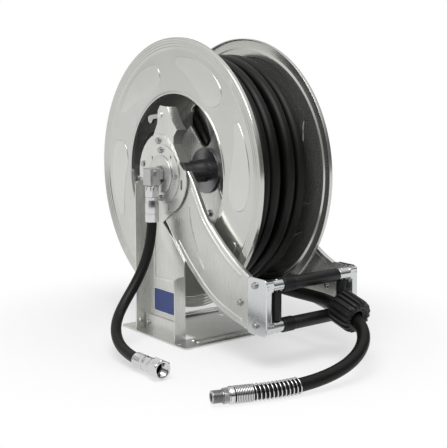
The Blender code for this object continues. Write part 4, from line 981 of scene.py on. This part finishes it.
def make_discs():
    """Two pressed discs.

    Each is a section of radius and X carried round the axis; its flat carries six leaves whose
    height is a smooth step of the distance from the leaf's outline.
    """
    count = 288
    leaves = [smooth_loop([polar_mm(r, 90 + 60 * k + a) for r, a in LEAF], 0.0022)
              for k in range(6)]
    rows = [offset_line(leaf, d) for leaf in leaves for d in (-0.0006, -0.0002, 0.0002, 0.0006)]
    lines = [ring_of(FLAT_LOW * MM, count), ring_of(FLAT_HIGH * MM, count)] + rows
    lines += [ring_of(r * MM, count) for r in (164, 240)]

    def on_flat(middle):
        """Whether points lie on the disc's flat."""
        radius = np.linalg.norm(middle, axis=1)
        return (radius > FLAT_LOW * MM * 0.9999 - 1e-5) & (radius < FLAT_HIGH * MM)

    flat, faces = filled(lines, on_flat)
    gap = np.min([line_distance(flat, leaf) for leaf in leaves], axis=0)
    rise = PRESS * step_smooth((0.0006 - gap) / 0.0012)
    for name, out, node in (("front_disc", -1, "near_disc"), ("rear_disc", 1, "far_disc")):
        shells = []
        for side_x in (-3.5, -5.5):
            x = out * (DISC_X + side_x * MM + rise)
            shells.append((np.stack([x, flat[:, 0], flat[:, 1] + AXIS[2]], -1), faces.tolist()))
        section = [DISC_OUTSIDE[:6], DISC_OUTSIDE[6:] + DISC_INSIDE[:7],
                   DISC_INSIDE[7:] + DISC_OUTSIDE[:1]]
        for run in section:
            run = rounded_line(run, 0.5, 2)
            grid = about_axis([(r, 0) for r, _ in run], count)
            grid[..., 0] = (out * (DISC_X + run[:, 1] * MM))[:, None]
            shells.append((grid.reshape(-1, 3), grid_faces(len(run), count)))
        points, made = joined(shells)
        obj = welded(name, points, made, finish("disc"), "drum", (node,))
        obj.modifiers.new("flat_faces", "WEIGHTED_NORMAL").keep_sharp = True


def welded(name, points, faces, material, body, replaced, near=2e-6, sharp=60):
    """A piece whose parts share edges: points merged and faces turned outwards together."""
    mesh = bpy.data.meshes.new(name)
    mesh.from_pydata(np.asarray(points, float).tolist(), [], faces)
    work = bmesh.new()
    work.from_mesh(mesh)
    bmesh.ops.remove_doubles(work, verts=work.verts, dist=near)
    loose = [v for v in work.verts if not v.link_faces]
    bmesh.ops.delete(work, geom=loose, context="VERTS")
    bmesh.ops.recalc_face_normals(work, faces=work.faces)
    work.to_mesh(mesh)
    work.free()
    return placed(name, mesh, material, body, replaced, sharp)


# ---------------------------------------------------------------- inside the drum
def section_piece(name, profile, count, kind, body, replaced, sharp=40):
    """A closed section in (radius, X) in millimetres, carried round the drum axis."""
    points, faces = outward(*closed_grid(about_axis(profile, count), True))
    return piece(name, points, faces, finish(kind), body, replaced, sharp=sharp)


def make_core():
    """Tube that carries the hose, and the sheet case of the rewind spring inside it."""
    reach = 78.2
    core = loop_of([(157, -reach), (160, -reach), (160, reach), (157, reach)], 0.6)
    # The inside finish is the sheet's colour with painted shade.
    section_piece("core_tube", core, 192, "inside", "drum", ("drum_core",))
    near = 24.3
    across = np.linspace(148, 20, 33)
    case = [(15, 74), (60, 74), (66, 70), (146, 70), (152, 66), (152, near)]
    case += [(r, near) for r in across] + [(15, near), (15, near + 1.6)]
    case += [(r, near + 1.6) for r in across[::-1]]
    case += [(150, near + 1.6), (150, 65.2), (145.2, 68), (65.2, 68), (59.2, 72), (15, 72)]
    line = loop_of(case, 1.6)
    count = 480
    grid = about_axis(line, count)
    angle = round_angles(count)
    out_from = np.clip((line[:, 0] - 56) / 14, 0, 1) * np.clip((143 - line[:, 0]) / 10, 0, 1)
    face = np.exp(-((line[:, 1] - near - 0.8) / 2.2) ** 2) * out_from
    wave = 0.5 + 0.5 * np.cos(20 * angle)
    grid[..., 0] += 0.005 * face[:, None] * wave[None] ** 2
    points, faces = outward(*closed_grid(grid, True))
    piece("spring_cup", points, faces, finish("inside"), "drum",
          ("spring_case",))


def loop_of(points, radius, steps=3):
    """A closed flat line in millimetres with its corners rounded."""
    p = [np.asarray(q, float) for q in points]
    ring = rounded_line([0.5 * (p[-1] + p[0])] + p + [0.5 * (p[-1] + p[0])], radius, steps)
    return ring[:-1]


def make_hub():
    """Turning hub with its flange, on the fixed shaft."""
    hub = [(24, 24), (24, -8), (46, -8), (46, -13), (23, -13), (23, -87.3), (31, -87.3), (31, -91),
           (12.3, -91), (12.3, 24)]
    section_piece("turning_hub", loop_of(hub, 0.8), 96, "machined", "drum",
                  ("hub_tube",))
    shaft = [(6, -121.2), (6.8, -122), (11.2, -122), (12, -121.2), (12, 111.2), (11.2, 112),
             (6.8, 112), (6, 111.2)]
    section_piece("fixed_shaft", loop_of(shaft, 0.3), 64, "machined", "frame",
                  ("main_shaft",))


SPIDER_TURN = -96


def opening_line(middle):
    """Outline of one opening of the spider."""
    def arc_at(out, radius, start, end):
        """Seven points of an arc about a point on the opening's middle line."""
        turns = [math.radians(t) for t in np.linspace(start, end, 7)]
        return [(out + radius * math.cos(t), radius * math.sin(t)) for t in turns]

    points = arc_at(70, 21, 240, 120)
    points += [(97, 46), (111, 59), (124, 62.5)] + arc_at(0, 144, 22.5, -22.5)
    points += [(124, -62.5), (111, -59), (97, -46)]
    line = smooth_loop(np.array(points) * MM, 0.0024)
    turn = math.radians(middle)
    return np.stack([line[:, 0] * math.cos(turn) - line[:, 1] * math.sin(turn),
                     line[:, 0] * math.sin(turn) + line[:, 1] * math.cos(turn)], -1)


def make_spider():
    """Dished spider: X is a smooth function of the radius, and the sheet turns in at its openings.

    Near an opening the sheet drops on a quarter round of 4 mm of the distance from its outline.
    """
    openings = [opening_line(SPIDER_TURN + 120 * (k + 0.5)) for k in range(3)]
    lip = 0.004
    rows = [offset_line(line, d * MM) for line in openings
            for d in (0, 0.35, 1.0, 2.0, 3.0, 4.0, 5.5)]
    rings = [24.5, 30, 60, 88, 94, 98, 101, 104, 107, 110, 114, 120, 126, 131, 134, 137, 140, 144,
             148, 152, 156.7]
    lines = [ring_of(r * MM, 144) for r in rings] + rows

    def on_sheet(middle):
        """Whether points lie on the spider's sheet."""
        radius = np.linalg.norm(middle, axis=1)
        clear = np.min([line_distance(middle, line) for line in openings], axis=0)
        return (radius > 24.45 * MM) & (radius < 156.7 * MM) & (clear > 0)

    flat, faces = filled(lines, on_sheet)
    radius = np.linalg.norm(flat, axis=1) / MM
    r = np.linspace(20, 160, 561)
    section = np.interp(r, [24.5, 104, 138, 156.7], [-7.7, -7.7, 12, 12])
    section = blurred(section, np.hanning(57))
    gap = np.min([line_distance(flat, line) for line in openings], axis=0)
    inner = np.clip(lip - np.maximum(gap, 0), 0, lip)
    drop = lip - np.sqrt(np.maximum(lip ** 2 - inner ** 2, 0))
    x = np.interp(radius, r, section) * MM + drop * 0.9
    pressed("spider", flat, faces, x, SHEET, "sheet", "drum",
            ("drum_spider",), 0.0004, 40)
    for k in range(3):
        y, z = polar_mm(87, SPIDER_TURN + 120 * k)
        rings = [(0, 4), (0, 7.9), (0.3, 8.1), (1.4, 8.1), (1.6, 7.8), (1.6, 6.0, 6.06),
                 (2.0, 6.5, 6.06), (5.0, 7.0, 6.06), (5.3, 6.4, 6.06), (5.4, 5.6)]
        turned_piece("spider_bolt_%d" % (k + 1), (-0.0077, y, AXIS[2] + z), (-1, 0, 0), rings,
                     finish("plated"), "drum", ("drum_spider",), count=60)


# ---------------------------------------------------------------- frame
# The arm's edges and the middle lines of its beads, (Y, Z) in millimetres from the axis.
ARM_UPPER = [(-76, 11), (-92, -9), (-111, -40), (-135, -75), (-172, -108), (-201, -129),
             (-230, -147), (-258, -160)]
ARM_LOWER = [(-244, -255), (-201, -246), (-171, -235), (-141, -220), (-110, -199), (-68, -165)]
ARM_BEADS = [[(-88, -22), (-106, -52), (-128, -83), (-166, -118), (-200, -143), (-234, -162)],
             [(-238, -243), (-204, -234), (-172, -223), (-143, -208), (-112, -186), (-72, -152),
              (-48, -128)],
             [(-80, -56), (-84, -86), (-97, -120), (-112, -150), (-126, -170)]]
BEND = 0.0032
FOLD = 0.0102


def left_of(line):
    """Directions along a flat line and square to it, on its left."""
    tangent = unit(np.gradient(line, axis=0))
    return tangent, np.stack([-tangent[:, 1], tangent[:, 0]], -1)


def around(line, half, steps=9):
    """A closed line at one distance round an open line."""
    tangent, left = left_of(line)
    turn = np.linspace(0, math.pi, steps)[1:-1, None]
    last = np.cos(turn) * left[-1] + np.sin(turn) * tangent[-1]
    first = -np.cos(turn) * left[0] - np.sin(turn) * tangent[0]
    return np.vstack([line + half * left, line[-1] + half * last,
                      (line - half * left)[::-1], line[0] + half * first])


def bead_rise(flat, beads, half, height):
    """Height of pressed beads: a smooth step of the distance from each bead's middle line."""
    rise = np.zeros(len(flat))
    for line in beads:
        gap = nearest(flat, line[:-1], line[1:])
        rise = np.maximum(rise, height * step_smooth((half - gap) / (0.5 * half)))
    return rise


def folded(edge, x, inward):
    """Bent edge: a quarter bend and a straight leg, carried along the sheet's edge line."""
    turn = np.linspace(0, math.pi / 2, 6)
    inner = BEND - SHEET
    section = [(BEND - BEND * math.cos(t), BEND - BEND * math.sin(t)) for t in turn]
    section += [(FOLD - 0.0005, 0), (FOLD, 0.0005), (FOLD, SHEET - 0.0005), (FOLD - 0.0005, SHEET)]
    section += [(BEND - inner * math.cos(t), BEND - inner * math.sin(t)) for t in turn[::-1]]
    section = np.array(section)
    _, left = left_of(edge)
    flat = edge[:, None] + section[None, :, 1:2] * left[:, None]
    across = np.broadcast_to(x + inward * section[None, :, 0], flat.shape[:2])
    grid = np.stack([across, flat[..., 0], flat[..., 1] + AXIS[2]], -1)
    return outward(*closed_grid(grid))


def make_arms():
    """Two pressed arms with folded edges and raised beads.

    Height of the plate is a smooth step of the distance from each bead's middle line, and the
    folds are a quarter bend and a leg carried along the edges.
    """
    upper = spline(np.array(ARM_UPPER) * MM, 0.004)
    lower = spline(np.array(ARM_LOWER) * MM, 0.004)
    beads = [spline(np.array(line) * MM, 0.004) for line in ARM_BEADS]

    def moved(edge):
        """The edge line moved in by the radius of its bend."""
        return edge + BEND * left_of(edge)[1]

    head = np.array([polar_mm(71, a) for a in np.linspace(-60, 94, 52)])
    shoulder = spline(np.array([(-5, 70.8), (-26, 52), (-42, 32), (-54, 17), (-70, 12.5)]) * MM,
                      0.004)[1:]
    front = rounded_line([(-258, -160), (-288.3, -163), (-288.3, -256), (-246, -256)], 4, 4) * MM
    back = spline(np.array([(-66, -163.5), (-32, -127), (-5, -95), (22, -76), (34, -63)]) * MM,
                  0.004)[:-1]
    outline = np.vstack([head, shoulder, moved(upper), front, moved(lower), back])
    rows = [around(line, half) for line in beads
            for half in (0.0014, 0.0021, 0.0028, 0.0036, 0.0042)]
    for name, node, x, out, hub in (
            ("front_arm", "near_arm", NEAR_ARM_X - SHEET / 2, -1, 30),
            ("rear_arm", "far_arm", FAR_ARM_X + SHEET / 2, 1, 12.3)):
        hole = ring_of(hub * MM, 64)

        def on_sheet(middle):
            """Whether points lie on the arm's sheet."""
            clear = np.linalg.norm(middle, axis=1) > hub * MM
            return (line_distance(middle, outline) < 0) & clear

        flat, faces = filled([outline, hole] + rows, on_sheet)
        rise = bead_rise(flat, beads, 0.0042, 0.0019)
        pressed(name, flat, faces, x + out * rise, -out * SHEET, "sheet", "frame",
                (node,), 0.0003)
        for k, edge in enumerate((upper, lower)):
            points, made = folded(edge, x, -out)
            piece("%s_fold_%d" % (name, k + 1), points, made, finish("sheet"), "frame",
                  (node,), sharp=50)


def make_frame_sheets():
    """Pedestal, base and bearing plates with rounded sheet edges."""
    for node, name in (("base_plate", "base_sheet"), ("pedestal", "web"),
                       ("head_plate", "head_sheet"), ("ring_plate", "ring_sheet")):
        softened(node, name, "sheet")
    boss = [(12.3, 0), (36.7, 0), (36.7, -3), (12.3, -3)]
    face = (RING_X - SHEET / 2 - GAP) / MM
    section = loop_of([(r, face + x) for r, x in boss], 0.7)
    section_piece("boss", section, 96, "sheet", "frame", ("bearing_boss",))


def hex_bolt(name, place, out, grip, nut=True):
    """Washer, hexagon head with a turned chamfer, shank and nut."""
    out = np.asarray(out, float)
    seat = np.asarray(place, float) + out * GAP
    flat = 5.6 * HEX
    shells = [(seat, out, [(0, 3.4), (0, 6.4), (0.2, 6.6), (1.0, 6.6), (1.3, 6.3), (1.4, 3.4)]),
              (seat + out * 0.0012, out, [(0, 4.2), (0, 5.0, flat), (0.3, 5.3, flat),
                                          (0.9, 5.6, flat), (3.1, 5.6, flat), (3.8, 4.8, flat),
                                          (4.0, 4.4), (4.0, 3.2), (3.75, 2.9)]),
              (seat + out * 0.0005, -out, [(0, 2.6), (0, 3.0), (grip / MM + 4.0, 3.0),
                                           (grip / MM + 4.6, 2.5)])]
    if nut:
        inner = seat - out * (grip + 0.0006)
        shells.append((inner, -out, [(0, 4.4), (0.2, 5.0, flat), (0.6, 5.6, flat),
                                     (2.6, 5.6, flat), (3.0, 5.0, flat), (3.2, 4.4)]))
    points, faces = joined(outward(*closed_grid(turned(start, direction, in_metres(rings), 48)))
                           for start, direction, rings in shells)
    return piece(name + "_set", points, faces, finish("nickel"), "frame",
                 (name,), sharp=35)


def make_bolts():
    """Bolts of the arms, guide, head and foot."""
    for k in range(4):
        y, z = polar_mm(47, 90 * k)
        hex_bolt("bolt_ring_%d" % (k + 1), (RING_X - SHEET / 2, y, AXIS[2] + z), (-1, 0, 0),
                 4 * SHEET + 3 * GAP, False)
    for k, (y, z) in enumerate([(12, 64.5), (63.5, 15.5)]):
        hex_bolt("bolt_head_%d" % (k + 1), (HEAD_X - SHEET / 2, y * MM, AXIS[2] + z * MM),
                 (-1, 0, 0), 3 * SHEET + 2 * GAP, False)
    for k, side in enumerate((-1, 1)):
        hex_bolt("bolt_foot_%d" % (k + 1), (HEAD_X - SHEET / 2, side * 0.052, 0.015), (-1, 0, 0),
                 2 * SHEET + GAP)
    arms = [("near", NEAR_ARM_X - SHEET / 2, -1), ("far", FAR_ARM_X + SHEET / 2, 1)]
    for name, face, out in arms:
        bracket = face + out * (GAP + BRACKET_PLATE)
        for k, (y, z) in enumerate([(-280, -172.6), (-283, -243.5)]):
            hex_bolt("bolt_guide_%s_%d" % (name, k + 1), (bracket, y * MM, AXIS[2] + z * MM),
                     (out, 0, 0), BRACKET_PLATE + SHEET + 2 * GAP)
    for name, face, out in arms:
        hex_bolt("bolt_arm_" + name, (face, -0.236, AXIS[2] - 0.211), (out, 0, 0), SHEET)


# ---------------------------------------------------------------- guide
def rounded_outline(low, high, radius, steps=8):
    """A closed rectangle with round corners."""
    line = []
    left, bottom = low[0] + radius, low[1] + radius
    right, top = high[0] - radius, high[1] - radius
    for cx, cy, start in ((right, top, 0), (left, top, 90), (left, bottom, 180),
                          (right, bottom, 270)):
        t = np.radians(np.linspace(start, start + 90, steps))
        line.append(np.stack([cx + radius * np.cos(t), cy + radius * np.sin(t)], -1))
    return np.vstack(line)


def slab(line, x_low, x_high):
    """Closed prism over a flat line of (Y, Z), between two X."""
    grid = np.stack([np.stack([np.full(len(line), x), line[:, 0], line[:, 1]], -1)
                     for x in (x_low, x_high)])
    return outward(*closed_grid(grid))


def make_bracket(name, node, plate_x, lug_end, out):
    """Casting: a plate, a front wall, and a round lug with a block under it for each long roller.

    The forms overlap as closed shells; an even skin joins them and repeated averaging rounds
    every edge, as casting does.
    """
    front, wall_back, block_back, back = -0.3108, -0.3066, -0.289, -0.258
    plate_half, wall_reach, block_reach, block_half = 0.0016, 0.0115, 0.016, 0.0105
    plate = rounded_outline((-0.311, 0.0613), (back, 0.1633), 0.009)
    shells = [slab(plate, plate_x - plate_half, plate_x + plate_half)]
    wall = rounded_outline((front, ROLLER_LOW - 0.008), (wall_back, ROLLER_HIGH + 0.008), 0.0015, 3)
    shells.append(slab(wall, *sorted((plate_x, plate_x - out * wall_reach))))
    reach = abs(lug_end - plate_x) / MM
    rings = [(0, 11.6), (4, 11.2), (reach - 3, 10.8), (reach - 0.2, 10.8), (reach, 10.4)]
    for z in (ROLLER_LOW, ROLLER_HIGH):
        grid = turned((plate_x, ROLLER_Y, z), (-out, 0, 0), in_metres(rings), 48)
        shells.append(outward(*closed_grid(grid)))
        block = rounded_outline((front, z - block_half), (block_back, z + block_half), 0.003, 4)
        shells.append(slab(block, *sorted((plate_x, plate_x - out * block_reach))))
    points, faces = joined(shells)
    obj = piece(name, points, faces, finish("cast"), "frame", (node,), sharp=180)
    remesh = obj.modifiers.new("even_skin", "REMESH")
    remesh.mode = "VOXEL"
    remesh.voxel_size = 0.0008
    remesh.use_smooth_shade = True
    smooth = obj.modifiers.new("worn_edges", "SMOOTH")
    smooth.factor = 0.5
    smooth.iterations = 12


def make_guide():
    """Cast brackets, pins and the four nylon rollers of the hose guide."""
    make_bracket("front_casting", "near_bracket", -0.1115, -0.070, -1)
    make_bracket("rear_casting", "far_bracket", 0.10705, 0.066, 1)
    for label, z in (("lower", ROLLER_LOW), ("upper", ROLLER_HIGH)):
        start = np.array([-0.070, ROLLER_Y, z])
        roller(label, start, (1, 0, 0), length=136.0, radius=12.0, collar=26.0, reach=6.0)
    inset = 0.011
    upright = (ROLLER_HIGH - ROLLER_LOW - 2 * inset) / MM
    for label, x in (("near", -0.0815), ("far", 0.078)):
        start = np.array([x, ROLLER_Y, ROLLER_LOW + inset])
        roller(label, start, (0, 0, 1), length=upright, radius=9.5, collar=0, reach=22.0)


def roller(label, start, along, length, radius, collar, reach):
    """Roller with rounded ends and, on the long ones, a grooved collar; and its pin."""
    along = np.asarray(along, float)
    edge = 1.3
    thick = radius + 1.2
    rings = [(0.3, 4.5)]
    if collar:
        rings += [(0.3, thick - edge), (0.6, thick - 0.4), (1.5, thick)]
        grooves = np.arange(3.0, collar - 2.5, 2.4)
        for g in grooves:
            rings += [(g, thick), (g + 0.35, thick - 0.6), (g + 0.85, thick - 0.6), (g + 1.2, thick)]
        rings += [(collar - 1.2, thick), (collar - 0.3, thick - 0.3), (collar, radius - 1.4),
                  (collar + 1.2, radius - 1.6), (collar + 1.8, radius - 0.4), (collar + 2.6, radius)]
    else:
        rings += [(0.3, radius - edge), (0.7, radius - 0.4), (1.6, radius)]
    rings += [(length * 0.5, radius), (length - 1.6, radius), (length - 0.7, radius - 0.4),
              (length - 0.3, radius - edge), (length - 0.3, 4.5)]
    turned_piece("guide_roller_" + label, start, along, rings, finish("nylon"),
                 "roller_" + label, ("roller_" + label,), hollow=True)
    rings = [(0, 3.4), (0.6, 4), (length + 2 * reach - 0.6, 4), (length + 2 * reach, 3.4)]
    turned_piece("guide_pin_" + label, start - along * reach * MM, along, rings,
                 finish("plated"), "frame", ("pin_" + label,), count=40)


# ---------------------------------------------------------------- stopper
RIBS = 18
RIB_DEPTH = 4.4
HALF_GAP = 0.15


def make_stopper():
    """Two ribbed halves clamped round the hose.

    The radius is R(t) - d(t) w(a): R is the profile along the hose, w a rounded wave round it
    and d its depth, which fades to nothing at the rims.
    """
    section = [(0, 12.4, 0), (0, 23, 0.2), (0.8, 26.5, 0.5), (4, 29.6, 0.9), (9, 31.6, 1),
               (44, 31.6, 1), (50, 30.6, 1), (53.4, 28, 0.8), (54.6, 25, 0.6), (55, 22, 0.3),
               (55, 19.6, 0), (53, 17.6, 0), (50, 14.6, 0), (50, 12.4, 0)]
    line = rounded_line(section, 0.9, 2)
    along = unit(STOPPER_FRONT - STOPPER_REAR)
    side, over = crossing(along)
    for name, sign, node in (("stopper_top", 1, "stopper_upper"),
                             ("stopper_bottom", -1, "stopper_lower")):
        a = np.linspace(0, math.pi, 289)
        wave = step_smooth(0.5 - 0.85 * np.cos(RIBS * a))
        radius = line[:, 1:2] - RIB_DEPTH * line[:, 2:3] * wave[None]
        y = radius * np.cos(a)[None]
        z = sign * radius * np.sin(a)[None] + HALF_GAP * sign
        grid = (STOPPER_REAR + line[:, 0][:, None, None] * MM * along
                + y[..., None] * MM * side + z[..., None] * MM * over)
        rows, columns = grid.shape[:2]
        points = grid.reshape(-1, 3)
        i = np.arange(rows)[:, None]
        j = np.arange(columns - 1)[None]
        n = (i + 1) % rows
        faces = np.stack([i * columns + j, i * columns + j + 1, n * columns + j + 1,
                          n * columns + j], -1).reshape(-1, 4).tolist()
        faces.append([k * columns for k in range(rows)])
        faces.append([k * columns + columns - 1 for k in range(rows)][::-1])
        welded(name, points, faces, finish("nylon"), "frame", (node,), 1e-7, 45)


# ---------------------------------------------------------------- swivel and ratchet
def make_swivel():
    """Elbow block on the shaft with its nut and the ferrule of the supply hose."""
    softened("elbow_body", "elbow_block", "nickel", width=0.0007, segments=3)
    flat = 15.6 * HEX
    rings = [(0, 12.8), (0.3, 13.6, flat), (1.8, 15.6, flat), (20.2, 15.6, flat),
             (21.7, 13.6, flat), (22, 12.8)]
    turned_piece("swivel_nut", (ELBOW_X, 0, 0.2787), (0, 0, 1), rings, finish("plated"), "frame",
                 ("elbow_nut",), count=96, twist=math.radians(30))
    rings = [(0, 10.8), (0, 12.8), (0.4, 13.2), (14.6, 13.2), (15.2, 12.5), (16.6, 12.5),
             (17.2, 13.2), (36.6, 13.2), (38, 12.9), (40, 12.5), (47.4, 12.5), (48, 11.9),
             (48, 10.8)]
    turned_piece("supply_ferrule", (ELBOW_X, 0, 0.2304), (0, 0, 1), rings, finish("plated"),
                 "frame", ("inlet_ferrule",), hollow=True)
    softened("shaft_nut", "end_nut", "nickel", width=0.0006)


def make_ratchet():
    """Toothed sector, pawl, its pin and spring."""
    softened("ratchet_sector", "ratchet", "sheet", "drum", width=0.0004)
    softened("pawl", "pawl_finger", "nickel", "pawl", width=0.0005)
    softened("pawl_pin", "pawl_pivot", "plated", width=0.0004)
    low, high = WEB_X + SHEET / 2 + 0.0012, -0.085 - 0.0037
    turns, coil_radius, coil_y, coil_z = 3.0, 0.0046, 0.009, AXIS[2] + 0.115
    t = np.linspace(0, 1, 120)
    angle = 2 * math.pi * turns * t
    path = np.stack([low + (high - low) * t, coil_y + coil_radius * np.cos(angle),
                     coil_z + coil_radius * np.sin(angle)], -1)
    first = path[0] + np.array([0, 0.0005, -0.006])
    last = path[-1] + np.array([0, 0.0005, 0.006])
    path = evenly(np.vstack([first, path, last]), 0.0007)
    points, faces, _ = tube(path, 0.0006, 10, (1.0, 0.0, 0.0), 0.0002)
    piece("pawl_return_spring", points, faces, finish("plated"), "frame",
          ("pawl_spring",))


LABEL_SHEET = 0.00014


def make_label():
    """Plain label on the web: a white backing and a blue face, without any print."""
    for name, inset, lift, colour in (("label_backing", 0.0, 0.0, (0.82, 0.82, 0.80)),
                                      ("label_face", 0.0012, 0.00012, tuple(colours().label))):
        outline = rounded_outline((-0.041 + inset, 0.045 + inset),
                                  (0.035 - inset, 0.0915 - inset), 0.0022)
        front = WEB_X - SHEET / 2 - lift
        points, faces = slab(outline, front, front - LABEL_SHEET)
        material, tree, shader, place = begin(name)
        clouds = noise(tree, place, 60.0, 4.0)
        base = mixed(tree, "RGBA", shade(colour, 0.92), shade(colour, 1.1),
                     ramp(tree, clouds, 0.3, 0.7))
        tree.links.new(base, shader.inputs["Base Color"])
        tree.links.new(ramp(tree, clouds, 0.3, 0.7, 0.30, 0.42), shader.inputs["Roughness"])
        piece(name, points, faces, material, "frame")


# ---------------------------------------------------------------- operators and panel
class REEL_OT_stage(bpy.types.Operator):
    """Build the floor, the surroundings, the light and the camera."""

    bl_idname = "reel.stage"
    bl_label = "Setting"

    def execute(self, context):
        make_stage()
        return {"FINISHED"}


class REEL_OT_delivery_hose(bpy.types.Operator):
    """Build the outlet hose with its bend spring, ferrule and threaded end."""

    bl_idname = "reel.delivery_hose"
    bl_label = "Delivery hose"

    def execute(self, context):
        make_delivery_hose()
        return {"FINISHED"}


class REEL_OT_supply_hose(bpy.types.Operator):
    """Build the supply hose with its crimped sleeve and union nut."""

    bl_idname = "reel.supply_hose"
    bl_label = "Supply hose"

    def execute(self, context):
        make_supply_hose()
        return {"FINISHED"}


class REEL_OT_winding(bpy.types.Operator):
    """Build the turns of hose on the core."""

    bl_idname = "reel.winding"
    bl_label = "Winding"

    def execute(self, context):
        make_winding()
        return {"FINISHED"}


class REEL_OT_discs(bpy.types.Operator):
    """Build both pressed discs."""

    bl_idname = "reel.discs"
    bl_label = "Discs"

    def execute(self, context):
        make_discs()
        return {"FINISHED"}


class REEL_OT_core(bpy.types.Operator):
    """Build the core tube and the case of the rewind spring."""

    bl_idname = "reel.core"
    bl_label = "Core and spring cup"

    def execute(self, context):
        make_core()
        return {"FINISHED"}


class REEL_OT_hub(bpy.types.Operator):
    """Build the turning hub and the fixed shaft."""

    bl_idname = "reel.hub"
    bl_label = "Hub and shaft"

    def execute(self, context):
        make_hub()
        return {"FINISHED"}


class REEL_OT_spider(bpy.types.Operator):
    """Build the dished spider and its bolts."""

    bl_idname = "reel.spider"
    bl_label = "Spider"

    def execute(self, context):
        make_spider()
        return {"FINISHED"}


class REEL_OT_inner_hose(bpy.types.Operator):
    """Build the hose inside the drum and its elbow."""

    bl_idname = "reel.inner_hose"
    bl_label = "Inner hose"

    def execute(self, context):
        make_inner_hose()
        return {"FINISHED"}


class REEL_OT_arms(bpy.types.Operator):
    """Build both pressed arms."""

    bl_idname = "reel.arms"
    bl_label = "Arms"

    def execute(self, context):
        make_arms()
        return {"FINISHED"}


class REEL_OT_frame_sheets(bpy.types.Operator):
    """Build the pedestal, the base and the bearing plates."""

    bl_idname = "reel.frame_sheets"
    bl_label = "Frame sheets"

    def execute(self, context):
        make_frame_sheets()
        return {"FINISHED"}


class REEL_OT_bolts(bpy.types.Operator):
    """Build the bolts of the arms, guide, head and foot."""

    bl_idname = "reel.bolts"
    bl_label = "Bolts"

    def execute(self, context):
        make_bolts()
        return {"FINISHED"}


class REEL_OT_guide(bpy.types.Operator):
    """Build the cast brackets, pins and rollers."""

    bl_idname = "reel.guide"
    bl_label = "Hose guide"

    def execute(self, context):
        make_guide()
        return {"FINISHED"}


class REEL_OT_stopper(bpy.types.Operator):
    """Build both halves of the stopper."""

    bl_idname = "reel.stopper"
    bl_label = "Hose stopper"

    def execute(self, context):
        make_stopper()
        return {"FINISHED"}


class REEL_OT_swivel(bpy.types.Operator):
    """Build the elbow block, its nuts and the supply ferrule."""

    bl_idname = "reel.swivel"
    bl_label = "Swivel elbow"

    def execute(self, context):
        make_swivel()
        return {"FINISHED"}


class REEL_OT_ratchet(bpy.types.Operator):
    """Build the toothed sector, the pawl, its pin and spring."""

    bl_idname = "reel.ratchet"
    bl_label = "Ratchet and pawl"

    def execute(self, context):
        make_ratchet()
        return {"FINISHED"}


class REEL_OT_label(bpy.types.Operator):
    """Build the plain label."""

    bl_idname = "reel.label"
    bl_label = "Label"

    def execute(self, context):
        make_label()
        return {"FINISHED"}


OPERATORS = [REEL_OT_stage, REEL_OT_delivery_hose, REEL_OT_supply_hose, REEL_OT_winding,
             REEL_OT_discs, REEL_OT_core, REEL_OT_hub, REEL_OT_spider, REEL_OT_inner_hose,
             REEL_OT_arms, REEL_OT_frame_sheets, REEL_OT_bolts, REEL_OT_guide, REEL_OT_stopper,
             REEL_OT_swivel, REEL_OT_ratchet, REEL_OT_label]


class REEL_PT_panel(bpy.types.Panel):
    """Sizes, colours and pieces of the hose reel."""

    bl_label = "Hose reel"
    bl_idname = "REEL_PT_panel"
    bl_space_type = "VIEW_3D"
    bl_region_type = "UI"
    bl_category = "Hose reel"

    def draw(self, context):
        """Lists the sizes, the colours and the steps."""
        for group in (context.scene.reel_sizes, context.scene.reel_colours):
            for key in group.__annotations__:
                self.layout.prop(group, key)
        for step in OPERATORS:
            self.layout.operator(step.bl_idname)


CLASSES = [ReelSizes, ReelColours, REEL_PT_panel] + OPERATORS


def register():
    """Adds the classes and the two groups of settings."""
    for made in CLASSES:
        bpy.utils.register_class(made)
    bpy.types.Scene.reel_sizes = bpy.props.PointerProperty(type=ReelSizes)
    bpy.types.Scene.reel_colours = bpy.props.PointerProperty(type=ReelColours)


def unregister():
    """Takes the settings and the classes out again."""
    del bpy.types.Scene.reel_sizes
    del bpy.types.Scene.reel_colours
    for made in reversed(CLASSES):
        bpy.utils.unregister_class(made)


def main():
    """Builds the whole reel."""
    register()
    for step in OPERATORS:
        getattr(bpy.ops.reel, step.bl_idname.split(".")[1])()


if __name__ == "__main__":
    main()
